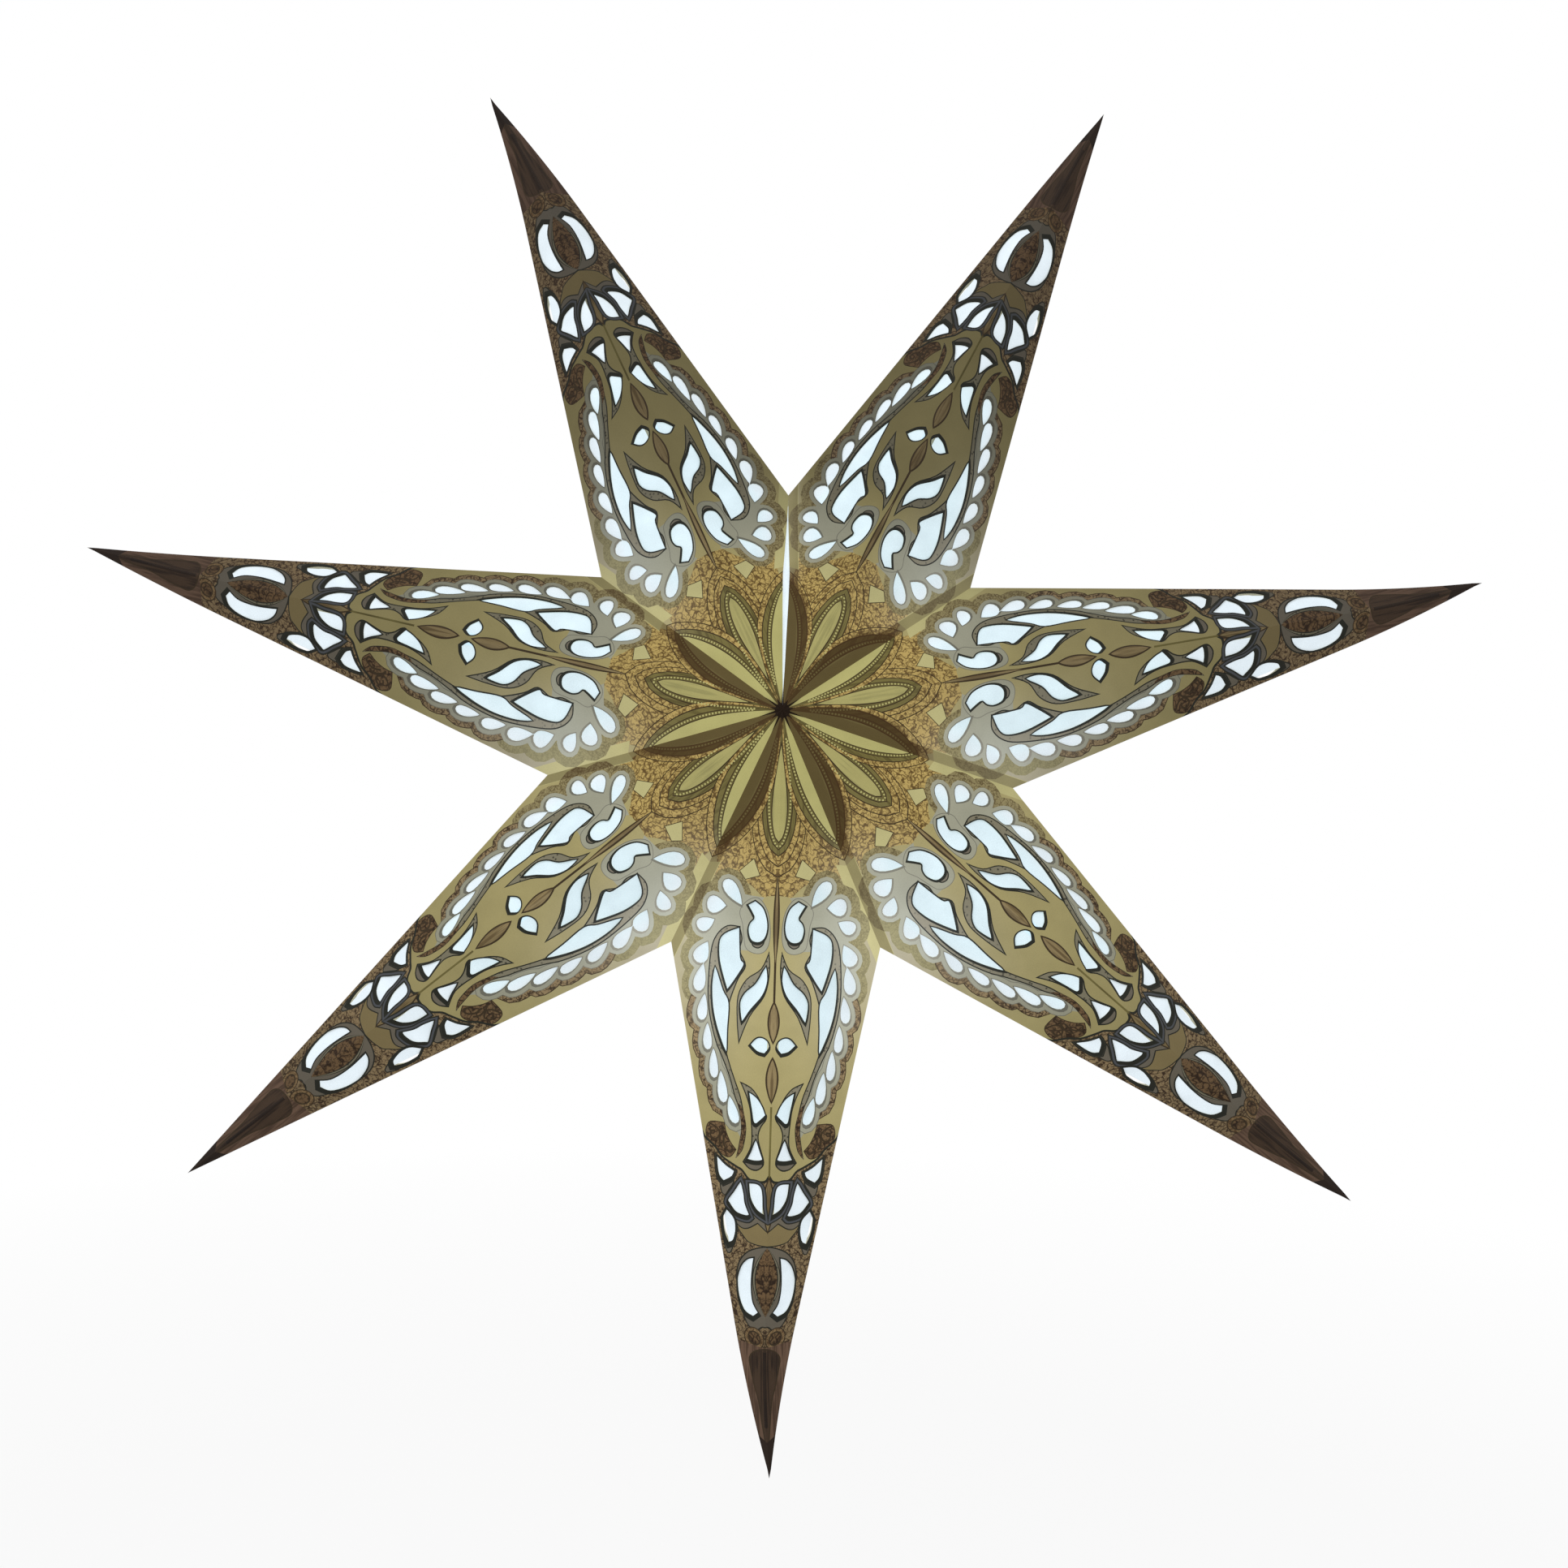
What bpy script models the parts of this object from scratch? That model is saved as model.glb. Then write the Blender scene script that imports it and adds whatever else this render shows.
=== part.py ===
"""Seven-pointed pierced paper star lantern, opened and hung from the wire eye behind its top seam.

Every point is a hollow spike of four flat paper facets, two in front and two behind, folded from
one printed sheet. The sheets of neighbouring points are glued along the valleys, and the fan is
closed at the top seam by nothing but its own spring. White lining paper is glued inside each
facet behind the cut-outs. A small lamp sits in the middle on the hanging wire, which leaves
through a notch at the back of the top seam.

Facets are numbered by their point, counted to the left from the top seam as seen from the front.
"""
import math

import bmesh
import bpy
from mathutils import Vector
from mathutils.geometry import tessellate_polygon

# Driving sizes, in metres
POINT_COUNT = 7
TIP_RADIUS = 0.300
VALLEY_RADIUS = 0.0987
HALF_DEPTH = 0.060

# Paper
PAPER_THICKNESS = 0.0003
LINING_THICKNESS = 0.00015
GLUE_GAP = 0.0003
CREASE_CLEARANCE = 0.00015
FRONT_CREASE_CLEARANCE = 0.0009
LINING_MARGIN = 0.0035

# Lamp
BULB_RADIUS = 0.0200
BULB_NECK_RADIUS = 0.0095
BULB_NECK_LENGTH = 0.0075
CAP_RADIUS = 0.0069
CAP_LENGTH = 0.018
SEAT_GAP = 0.0003
THREAD_CLEARANCE = 0.0005
HOLDER_RADIUS = 0.0122
HOLDER_BODY_LENGTH = 0.028
HOLDER_SHOULDER_LENGTH = 0.009
HOLDER_RIM_HEIGHT = 0.004
HOLDER_RIM_RADIUS = 0.0134
NIPPLE_RADIUS = 0.0048
NIPPLE_LENGTH = 0.007

# Hanging wire and the notch that it leaves through
WIRE_RADIUS = 0.0009
WIRE_OFFSET = 0.0013
WIRE_DROP = 0.0115
WIRE_BEND = 0.004
EYE_RADIUS = 0.0055
EYE_REACH = 0.011
EYE_RISE = 0.0015
EYE_OPENING_ANGLE = math.radians(36)
NOTCH_RADIUS = 0.0034
NOTCH_SHARE = 0.82

# Counts of flats on round pieces
ROUND_SIDES = 20
GLOBE_STEPS = 9
EYE_STEPS = 18
NOTCH_STEPS = 8
STEM_STEPS = 5
WIRE_BEVEL_RESOLUTION = 2

# The cut pattern of one half of a point, laid out in front view on a facet whose tip is at (1, 0)
# and whose valley corner is here: along the point from the centre and across it from the ridge
DRAWN_VALLEY_SHARES = (0.29642, 0.14275)
BORDER_DROP_SHARES = (
    # narrow end, round end, width
    ((0.242, 0.046), (0.211, 0.068), 0.0168),
    ((0.244, 0.067), (0.243, 0.092), 0.0226),
    ((0.263, 0.083), (0.275, 0.105), 0.0179),
    ((0.294, 0.091), (0.322, 0.105), 0.0191),
    ((0.324, 0.096), (0.361, 0.104), 0.0150),
    ((0.364, 0.093), (0.400, 0.098), 0.0122),
    ((0.403, 0.088), (0.439, 0.088), 0.0110),
    ((0.436, 0.079), (0.476, 0.078), 0.0110),
    ((0.464, 0.068), (0.507, 0.064), 0.0122),
    ((0.496, 0.055), (0.532, 0.047), 0.0133),
)
DROP_BULGE_SHARE = 0.62
COMMA_SHARES = ((0.246, 0.035), (0.246, 0.019), (0.272, 0.012), (0.290, 0.020), (0.284, 0.033),
                (0.262, 0.025))
BLADE_SHARES = ((0.273, 0.049), (0.288, 0.071), (0.319, 0.072), (0.353, 0.062), (0.336, 0.051),
                (0.318, 0.042))
SIDE_LEAF_SHARES = ((0.327, 0.079), (0.351, 0.082), (0.400, 0.076), (0.437, 0.062), (0.371, 0.061),
                    (0.355, 0.069))
INNER_LEAF_SHARES = ((0.321, 0.012), (0.348, 0.028), (0.371, 0.043), (0.393, 0.041), (0.358, 0.017),
                     (0.339, 0.011))
BUD_SHARES = ((0.426, 0.006), (0.415, 0.013), (0.425, 0.033), (0.437, 0.018))
LOWER_LEAF_SHARES = ((0.486, 0.030), (0.489, 0.021), (0.514, 0.009), (0.527, 0.021))
LOWER_DROP_SHARES = ((0.548, 0.019), (0.574, 0.012), (0.574, 0.031))
SIDE_WEDGE_SHARES = ((0.570, 0.066), (0.586, 0.047), (0.602, 0.057))
FAN_INNER_SHARES = ((0.604, 0.022), (0.612, 0.009), (0.644, 0.005), (0.629, 0.020))
FAN_OUTER_SHARES = ((0.602, 0.032), (0.624, 0.047), (0.640, 0.038), (0.648, 0.023), (0.627, 0.027))
SIDE_PETAL_SHARES = ((0.638, 0.049), (0.658, 0.055), (0.681, 0.046), (0.655, 0.041))
CRESCENT_SHARES = ((0.699, 0.017), (0.707, 0.031), (0.730, 0.035), (0.775, 0.015), (0.772, 0.008),
                   (0.738, 0.020))
FIGURE_SHARES = (COMMA_SHARES, BLADE_SHARES, SIDE_LEAF_SHARES, INNER_LEAF_SHARES, BUD_SHARES,
                 LOWER_LEAF_SHARES, LOWER_DROP_SHARES, SIDE_WEDGE_SHARES, FAN_INNER_SHARES,
                 FAN_OUTER_SHARES, SIDE_PETAL_SHARES, CRESCENT_SHARES)

# Finishes: colour, roughness, metallic value
PRINTED_PAPER = ((0.36, 0.29, 0.14), 0.85, 0.0)
LINING_PAPER = ((0.86, 0.91, 1.00), 0.90, 0.0)
OPAL_GLASS = ((0.95, 0.95, 0.92), 0.35, 0.0)
BLACK_PLASTIC = ((0.03, 0.03, 0.03), 0.40, 0.0)
STEEL_WIRE = ((0.55, 0.55, 0.57), 0.30, 1.0)

# Worked out from the driving sizes
HALF_ANGLE = math.pi / POINT_COUNT
STACK = PAPER_THICKNESS + GLUE_GAP + LINING_THICKNESS
VALLEY_ALONG = VALLEY_RADIUS * math.cos(HALF_ANGLE)
VALLEY_ACROSS = VALLEY_RADIUS * math.sin(HALF_ANGLE)
SLOPE_ALONG = HALF_DEPTH / TIP_RADIUS
SLOPE_ACROSS = HALF_DEPTH * (1 - VALLEY_ALONG / TIP_RADIUS) / VALLEY_ACROSS
SIDES = {"right": 1, "left": -1}
FACES = {"back": 1, "front": -1}
HANG_SIDE = "right"
HANG_FACE = "back"


def clear_scene():
    """Remove every object of the file that the script runs in."""
    for old in list(bpy.data.objects):
        bpy.data.objects.remove(old, do_unlink=True)


def finish(name, look):
    """Make a Principled material of the given colour, roughness and metallic value."""
    colour, roughness, metallic = look
    material = bpy.data.materials.new(name)
    material.use_nodes = True
    shader = material.node_tree.nodes["Principled BSDF"]
    shader.inputs["Base Color"].default_value = (*colour, 1)
    shader.inputs["Roughness"].default_value = roughness
    shader.inputs["Metallic"].default_value = metallic
    return material


def add_object(name, data, look, location):
    """Link a mesh or curve as a named object with its own material."""
    body = bpy.data.objects.new(name, data)
    body.data.materials.append(finish(name + "_finish", look))
    body.location = location
    bpy.context.collection.objects.link(body)
    return body


class Facet:
    """One flat half of a point, on the front or the back, as a triangle apex, tip and valley."""

    def __init__(self, point, side, face):
        """Set the triangle up in world directions, with the star's centre at the origin."""
        self.name = f"point{point}_{side}_{face}"
        self.side = side
        self.face = face
        azimuth = (2 * point - 1) * HALF_ANGLE
        self.along = Vector((-math.sin(azimuth), 0, math.cos(azimuth)))
        self.across = Vector((math.cos(azimuth), 0, math.sin(azimuth))) * SIDES[side]
        self.outward = Vector((0, FACES[face], 0))
        self.apex = self.place(0, 0)
        self.tip = self.place(TIP_RADIUS, 0)
        self.valley = self.place(VALLEY_ALONG, VALLEY_ACROSS)
        self.normal = (self.along * SLOPE_ALONG + self.across * SLOPE_ACROSS + self.outward).normalized()

    def place(self, along, across):
        """Give the spot on the sloping facet that front view shows at these distances."""
        depth = HALF_DEPTH - along * SLOPE_ALONG - across * SLOPE_ACROSS
        return self.along * along + self.across * across + self.outward * depth

    def place_drawn(self, shares):
        """Give the spot on this facet for a pair of shares of the drawn pattern."""
        valley_weight = shares[1] / DRAWN_VALLEY_SHARES[1]
        tip_weight = shares[0] - valley_weight * DRAWN_VALLEY_SHARES[0]
        return (self.apex * (1 - tip_weight - valley_weight) + self.tip * tip_weight
                + self.valley * valley_weight)

    def inset(self, ridge, valley, side):
        """Give the three corners after drawing each edge in by its own distance."""
        doubled_area = (self.tip - self.apex).cross(self.valley - self.apex).length
        valley_weight = ridge * (self.tip - self.apex).length / doubled_area
        tip_weight = valley * (self.valley - self.apex).length / doubled_area
        apex_weight = side * (self.tip - self.valley).length / doubled_area
        weights = (
            (1 - tip_weight - valley_weight, tip_weight, valley_weight),
            (apex_weight, 1 - apex_weight - valley_weight, valley_weight),
            (apex_weight, tip_weight, 1 - apex_weight - tip_weight),
        )
        return [self.apex * a + self.tip * t + self.valley * v for a, t, v in weights]

    def seam_spot(self):
        """Give the spot on the valley crease where the hanging wire goes past."""
        return self.apex + (self.valley - self.apex) * NOTCH_SHARE


def crease_point(corner, first_normal, second_normal, shift):
    """Give where two facet surfaces meet, both shifted outward from their middle planes."""
    bisector = (first_normal + second_normal).normalized()
    return corner + bisector * (shift / bisector.dot(first_normal))


def crease_inset(first_normal, second_normal):
    """Give how far from the crease two facets' surfaces meet, measured in the facet's plane."""
    half_turn = first_normal.angle(second_normal) / 2
    return STACK / 2 * math.tan(half_turn)


def drop_outline(narrow, rounded, width):
    """Give a border drop's four corners in shares: narrow end, two bulges and round end."""
    run = Vector(rounded) - Vector(narrow)
    bulge = Vector(narrow) + run * DROP_BULGE_SHARE
    sideways = Vector((-run.y, run.x)).normalized() * (width / 2)
    return [Vector(narrow), bulge + sideways, Vector(rounded), bulge - sideways]


def pattern():
    """List the cut-outs of one facet in shares of the drawn pattern."""
    return [drop_outline(*drop) for drop in BORDER_DROP_SHARES] + list(FIGURE_SHARES)


def notch(outline, facet):
    """Cut the notch for the hanging wire into the last edge of a facet's outline."""
    apex, tip, valley = outline
    upward = (valley - apex).normalized()
    inward = facet.normal.cross(upward)
    if inward.dot(tip - apex) < 0:
        inward = -inward
    middle = apex + (valley - apex) * NOTCH_SHARE
    turns = [math.pi * step / NOTCH_STEPS for step in range(NOTCH_STEPS + 1)]
    arc = [middle + (upward * math.cos(turn) + inward * math.sin(turn)) * NOTCH_RADIUS for turn in turns]
    return [apex, tip, valley, *arc]


def plate(loops, normal, low, high):
    """Make a flat closed plate from an outline and its holes, between two heights above them."""
    mesh = bmesh.new()
    floors = [[mesh.verts.new(spot + normal * low) for spot in loop] for loop in loops]
    roofs = [[mesh.verts.new(spot + normal * high) for spot in loop] for loop in loops]
    for floor, roof in zip(floors, roofs):
        for index in range(len(floor)):
            mesh.faces.new((floor[index - 1], floor[index], roof[index], roof[index - 1]))
    flat_floor = [vert for loop in floors for vert in loop]
    flat_roof = [vert for loop in roofs for vert in loop]
    for corners in tessellate_polygon(loops):
        mesh.faces.new([flat_floor[corner] for corner in corners])
        mesh.faces.new([flat_roof[corner] for corner in corners])
    bmesh.ops.recalc_face_normals(mesh, faces=mesh.faces)
    return mesh


def mesh_data(name, built):
    """Turn a finished bmesh into mesh data."""
    data = bpy.data.meshes.new(name)
    built.to_mesh(data)
    built.free()
    return data


def turned(profile, sides=ROUND_SIDES):
    """Revolve a profile of radius and height about Z into a closed body."""
    mesh = bmesh.new()
    rings = []
    for radius, height in profile:
        if radius == 0:
            rings.append([mesh.verts.new((0, 0, height))])
            continue
        turns = [2 * math.pi * step / sides for step in range(sides)]
        rings.append([mesh.verts.new((radius * math.cos(turn), radius * math.sin(turn), height))
                      for turn in turns])
    closed = len(rings[0]) > 1
    pairs = list(zip(rings, rings[1:])) + ([(rings[-1], rings[0])] if closed else [])
    for lower, upper in pairs:
        for step in range(sides):
            corners = [lower[step % len(lower)], lower[(step + 1) % len(lower)],
                       upper[(step + 1) % len(upper)], upper[step % len(upper)]]
            mesh.faces.new(list(dict.fromkeys(corners)))
    bmesh.ops.recalc_face_normals(mesh, faces=mesh.faces)
    return mesh


def smooth_route(stops, steps):
    """Read points from a smooth curve through the stops."""
    padded = [stops[0] * 2 - stops[1], *stops, stops[-1] * 2 - stops[-2]]
    route = []
    for before, start, end, after in zip(padded, padded[1:], padded[2:], padded[3:]):
        for step in range(steps):
            t = step / steps
            route.append((start * 2 + (end - before) * t
                          + (before * 2 - start * 5 + end * 4 - after) * t ** 2
                          + (start * 3 - before - end * 3 + after) * t ** 3) / 2)
    return route + [stops[-1]]


def build_facets(centre):
    """Build the paper and the lining of every facet, each with its origin on its crease."""
    for point in range(1, POINT_COUNT + 1):
        for side in SIDES:
            for face in FACES:
                build_facet(point, side, face, centre)


def build_facet(point, side, face, centre):
    """Build one facet of a point: its pierced paper and the lining behind it."""
    facet = Facet(point, side, face)
    twin = Facet(point, "left" if side == "right" else "right", face)
    behind = Facet(point, side, "front" if face == "back" else "back")
    next_point = point + 1 if side == "left" else point - 1
    neighbour = Facet(next_point, twin.side, face)
    folding_gap = CREASE_CLEARANCE if face == HANG_FACE else FRONT_CREASE_CLEARANCE
    edges = (crease_inset(facet.normal, twin.normal) + folding_gap,
             crease_inset(facet.normal, neighbour.normal) + folding_gap,
             crease_inset(facet.normal, behind.normal) + CREASE_CLEARANCE)
    pivot = facet_pivot(point, side, face)

    holes = [[facet.place_drawn(spot) for spot in loop] for loop in pattern()]
    outline = facet.inset(*edges)
    if (point, side, face) == (POINT_COUNT, "left", HANG_FACE):
        outline = notch(outline, facet)
    lined = facet.inset(*[edge + LINING_MARGIN for edge in edges])
    paper_loops = [[spot - pivot for spot in loop] for loop in [outline, *holes]]
    lining_loops = [[spot - pivot for spot in lined]]

    paper = plate(paper_loops, facet.normal, STACK / 2 - PAPER_THICKNESS, STACK / 2)
    lining = plate(lining_loops, facet.normal, -STACK / 2, LINING_THICKNESS - STACK / 2)
    add_object(facet.name + "_panel", mesh_data(facet.name, paper), PRINTED_PAPER, centre + pivot)
    add_object(facet.name + "_lining", mesh_data(facet.name + "_lining", lining), LINING_PAPER,
               centre + pivot)


def facet_pivot(point, side, face):
    """Give a spot on the crease that a facet turns about when the star folds."""
    facet = Facet(point, side, face)
    if face != HANG_FACE:
        behind = Facet(point, side, HANG_FACE)
        return crease_point(facet.tip, facet.normal, behind.normal, -STACK / 2)
    if side == "left":
        twin = Facet(point, "right", face)
        return crease_point(facet.apex, facet.normal, twin.normal, -STACK / 2)
    before = Facet(point - 1, "left", face)
    return crease_point(facet.apex, facet.normal, before.normal, STACK / 2)


def globe_profile():
    """Give the bulb's outline about its globe's middle, and the height where the holder seats."""
    neck_start = math.sqrt(BULB_RADIUS ** 2 - BULB_NECK_RADIUS ** 2)
    last_turn = math.pi - math.asin(BULB_NECK_RADIUS / BULB_RADIUS)
    turns = [last_turn * step / GLOBE_STEPS for step in range(GLOBE_STEPS + 1)]
    globe = [(BULB_RADIUS * math.sin(turn), -BULB_RADIUS * math.cos(turn)) for turn in turns]
    seat = neck_start + BULB_NECK_LENGTH
    cap_end = seat + CAP_LENGTH
    neck = [(BULB_NECK_RADIUS, seat), (CAP_RADIUS, seat), (CAP_RADIUS, cap_end), (0, cap_end)]
    return [(0, -BULB_RADIUS), *globe[1:], *neck], seat


def build_lamp(centre):
    """Build the bulb and its holder below the seam's notch, and return the holder's top."""
    outline, seat = globe_profile()
    mouth = seat + SEAT_GAP
    bore_radius = CAP_RADIUS + THREAD_CLEARANCE
    bore_end = mouth + CAP_LENGTH + SEAT_GAP
    rim_end = mouth + HOLDER_RIM_HEIGHT
    body_end = mouth + HOLDER_BODY_LENGTH
    shoulder_end = body_end + HOLDER_SHOULDER_LENGTH
    top = shoulder_end + NIPPLE_LENGTH
    profile = [(0, bore_end), (bore_radius, bore_end), (bore_radius, mouth), (HOLDER_RIM_RADIUS, mouth),
               (HOLDER_RIM_RADIUS, rim_end), (HOLDER_RADIUS, rim_end), (HOLDER_RADIUS, body_end),
               (NIPPLE_RADIUS, shoulder_end), (NIPPLE_RADIUS, top), (0, top)]

    through, _ = wire_course()
    globe_middle = Vector((0, 0, through.z - WIRE_DROP - top))
    add_object("bulb", mesh_data("bulb", turned(outline)), OPAL_GLASS, centre + globe_middle)
    add_object("lampholder", mesh_data("lampholder", turned(profile)), BLACK_PLASTIC, centre + globe_middle)
    return globe_middle + Vector((0, 0, top))


def wire_course():
    """Give the spot where the wire passes the top seam, and the direction it leaves in."""
    held = Facet(1, HANG_SIDE, HANG_FACE)
    notched = Facet(POINT_COUNT, "left", HANG_FACE)
    outward = (held.normal + notched.normal).normalized()
    clear_side = (held.normal - notched.normal).normalized()
    return held.seam_spot() + clear_side * WIRE_OFFSET, outward


def eye_centre():
    """Give the middle of the hanging eye, behind the notch and a little above it."""
    through, outward = wire_course()
    return through + outward * EYE_REACH + Vector((0, 0, EYE_RISE))


def build_wire(holder_top, centre):
    """Build the hanging wire from the holder's nipple out through the notch to its eye."""
    through, outward = wire_course()
    middle = eye_centre()
    start = holder_top + Vector((0, 0, SEAT_GAP))
    first_turn = math.pi + EYE_OPENING_ANGLE
    turns = [first_turn + (2 * math.pi - EYE_OPENING_ANGLE) * step / EYE_STEPS
             for step in range(EYE_STEPS + 1)]
    backward = Vector((0, FACES[HANG_FACE], 0))
    ring = [middle + (backward * math.cos(turn) + Vector((0, 0, math.sin(turn)))) * EYE_RADIUS
            for turn in turns]
    bends = [start, start + Vector((0, 0, WIRE_BEND)), through - outward * WIRE_BEND,
             through + outward * WIRE_BEND, ring[0]]
    route = smooth_route(bends, STEM_STEPS) + ring[1:]
    curve = bpy.data.curves.new("hanging_wire", "CURVE")
    curve.dimensions = "3D"
    curve.bevel_depth = WIRE_RADIUS
    curve.bevel_resolution = WIRE_BEVEL_RESOLUTION
    curve.use_fill_caps = True
    spline = curve.splines.new("POLY")
    spline.points.add(len(route) - 1)
    for point, spot in zip(spline.points, route):
        point.co = (*spot, 1)
    add_object("hanging_wire", curve, STEEL_WIRE, centre)


def build_lantern():
    """Build the whole lantern with the middle of its hanging eye at the world's origin."""
    clear_scene()
    centre = -eye_centre()
    build_facets(centre)
    holder_top = build_lamp(centre)
    build_wire(holder_top, centre)


build_lantern()
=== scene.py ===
"""Looks of the seven-pointed pierced paper star lantern, glowing from the lamp inside it.

The paper is drawn once, as the flat layout of one facet: every cut-out, outline, petal and patch of
filigree is a shape on it. The layout is cut into triangles along those shapes, and the same cut
sheet is then laid on each facet of the star, mirrored where the facet is, and on one facet with a
notch for the wire. Each triangle has the ink that the print has there, so the print stays sharp at
any size. White lining paper lies behind the cut-outs. Distances are metres, and the layout is in
shares of the centre-to-tip length.
"""
import logging
import math
from dataclasses import dataclass, field
from enum import Enum, auto
from typing import Iterable, Sequence

import bpy
import numpy as np
from mathutils import Matrix, Vector
from mathutils.geometry import delaunay_2d_cdt


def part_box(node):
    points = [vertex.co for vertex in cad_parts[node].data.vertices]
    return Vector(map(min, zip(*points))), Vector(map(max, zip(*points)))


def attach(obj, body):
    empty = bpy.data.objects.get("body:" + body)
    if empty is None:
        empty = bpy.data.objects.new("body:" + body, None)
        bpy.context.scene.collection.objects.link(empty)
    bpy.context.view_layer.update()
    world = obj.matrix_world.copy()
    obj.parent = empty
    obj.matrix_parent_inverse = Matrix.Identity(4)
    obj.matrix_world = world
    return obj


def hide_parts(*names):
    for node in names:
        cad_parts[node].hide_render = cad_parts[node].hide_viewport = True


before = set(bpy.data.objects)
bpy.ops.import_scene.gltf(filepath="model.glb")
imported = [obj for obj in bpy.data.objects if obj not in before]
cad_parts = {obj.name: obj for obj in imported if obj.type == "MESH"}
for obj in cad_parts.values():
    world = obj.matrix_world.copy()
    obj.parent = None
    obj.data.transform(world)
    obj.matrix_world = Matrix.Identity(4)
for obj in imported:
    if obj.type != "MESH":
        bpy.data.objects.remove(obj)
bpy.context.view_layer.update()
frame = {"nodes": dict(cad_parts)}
log = logging.getLogger("star_lantern")

Triple = tuple[float, float, float]
Colour = Triple
Pair = tuple[float, float]


# Shader building

class Signal:
    """A number or colour that runs through a material, with arithmetic on numbers."""

    def __init__(self, sketch: "NodeSketch", socket: bpy.types.NodeSocket) -> None:
        """Wrap one output socket of a node."""
        self.sketch = sketch
        self.socket = socket

    def _join(self, operation: str, first: "Value", second: "Value") -> "Signal":
        """Add one Math node, which works on two values or signals."""
        node = self.sketch.node("ShaderNodeMath", {"operation": operation}, {0: first, 1: second})
        return Signal(self.sketch, node.outputs[0])

    def __add__(self, other: "Value") -> "Signal":
        """Add a value."""
        return self._join("ADD", self, other)

    __radd__ = __add__

    def __sub__(self, other: "Value") -> "Signal":
        """Take a value away."""
        return self._join("SUBTRACT", self, other)

    def __rsub__(self, other: "Value") -> "Signal":
        """Take this signal away from a value."""
        return self._join("SUBTRACT", other, self)

    def __mul__(self, other: "Value") -> "Signal":
        """Multiply by a value."""
        return self._join("MULTIPLY", self, other)

    __rmul__ = __mul__

    def __truediv__(self, other: "Value") -> "Signal":
        """Divide by a value."""
        return self._join("DIVIDE", self, other)

    def __abs__(self) -> "Signal":
        """Drop the sign."""
        return self._join("ABSOLUTE", self, 0.0)

    def over(self, other: "Value") -> "Signal":
        """Keep the larger of this signal and a value."""
        return self._join("MAXIMUM", self, other)

    def clamped(self) -> "Signal":
        """Keep the signal between nought and one."""
        return self._join("MINIMUM", self.over(0.0), 1.0)


Value = Signal | float


class NodeSketch:
    """A tree of nodes that is being built, node by node."""

    def __init__(self, tree: bpy.types.NodeTree) -> None:
        """Work in a tree that stands ready."""
        self.tree = tree

    def node(self, kind: str, settings: dict[str, object] | None = None,
             inputs: dict[str | int, object] | None = None) -> bpy.types.Node:
        """Add a node, with its settings first and then its sockets.

        Args:
            kind: The node's type.
            settings: Its properties by name.
            inputs: The value or signal of each socket, by name or number.

        Returns:
            The new node.
        """
        node = self.tree.nodes.new(kind)
        for name, setting in (settings or {}).items():
            setattr(node, name, setting)
        for key, value in (inputs or {}).items():
            self.feed(node.inputs[key], value)
        return node

    def feed(self, socket: bpy.types.NodeSocket, value: object) -> None:
        """Link a signal to a socket, or set the socket's own value.

        Args:
            socket: The input socket.
            value: A signal, a number, a vector or a colour.
        """
        if isinstance(value, Signal):
            self.tree.links.new(value.socket, socket)
        elif isinstance(value, tuple) and socket.type == "RGBA":
            socket.default_value = (*value, 1.0)
        else:
            socket.default_value = value

    def kept(self, name: str, output: str) -> Signal:
        """Read an attribute that the mesh carries, as "Vector" for a place or "Fac" for a number."""
        node = self.node("ShaderNodeAttribute", {"attribute_type": "GEOMETRY", "attribute_name": name})
        return Signal(self, node.outputs[output])

    def noise(self, place: Signal, scale: float, detail: float = 2.0) -> Signal:
        """Add cloudy noise at a place, between nought and one."""
        node = self.node("ShaderNodeTexNoise", None, {"Vector": place, "Scale": scale, "Detail": detail})
        return Signal(self, node.outputs[0])

    def cells(self, place: Signal, scale: float) -> Signal:
        """Add a cell texture and read how far a place is from the middle of its cell."""
        node = self.node("ShaderNodeTexVoronoi", {"feature": "F1"}, {"Vector": place, "Scale": scale})
        return Signal(self, node.outputs["Distance"])

    def shifted(self, place: Signal, scale: float, reach: float) -> Signal:
        """Push a place about by noise, so that what is drawn there wanders.

        Args:
            place: The place.
            scale: How closely the noise is spaced.
            reach: How far it pushes at most.

        Returns:
            The pushed place.
        """
        stir = self.node("ShaderNodeTexNoise", None, {"Vector": place, "Scale": scale})
        push = self.scaled(Signal(self, stir.outputs["Color"]), reach)
        moved = self.node("ShaderNodeVectorMath", {"operation": "ADD"}, {0: place, 1: push})
        return Signal(self, moved.outputs[0])

    def stretched(self, place: Signal, factors: Triple) -> Signal:
        """Scale a place by its own factor along each axis."""
        node = self.node("ShaderNodeVectorMath", {"operation": "MULTIPLY"}, {0: place, 1: factors})
        return Signal(self, node.outputs[0])

    def mixed(self, share: Value, first: "Colour | Signal", second: "Colour | Signal") -> Signal:
        """Mix two colours by a share of the second, through the node's own colour sockets."""
        node = self.node("ShaderNodeMix", {"data_type": "RGBA"}, {0: share, 6: first, 7: second})
        return Signal(self, node.outputs[2])

    def scaled(self, colour: "Colour | Signal", amount: Value) -> Signal:
        """Make a colour brighter or darker by an amount."""
        node = self.node("ShaderNodeVectorMath", {"operation": "SCALE"}, {0: colour, "Scale": amount})
        return Signal(self, node.outputs[0])

    def bump(self, height: Signal, depth: float, strength: float) -> Signal:
        """Turn a height into a bumped normal."""
        sockets = {"Strength": strength, "Distance": depth, "Height": height}
        return Signal(self, self.node("ShaderNodeBump", None, sockets).outputs[0])


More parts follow.
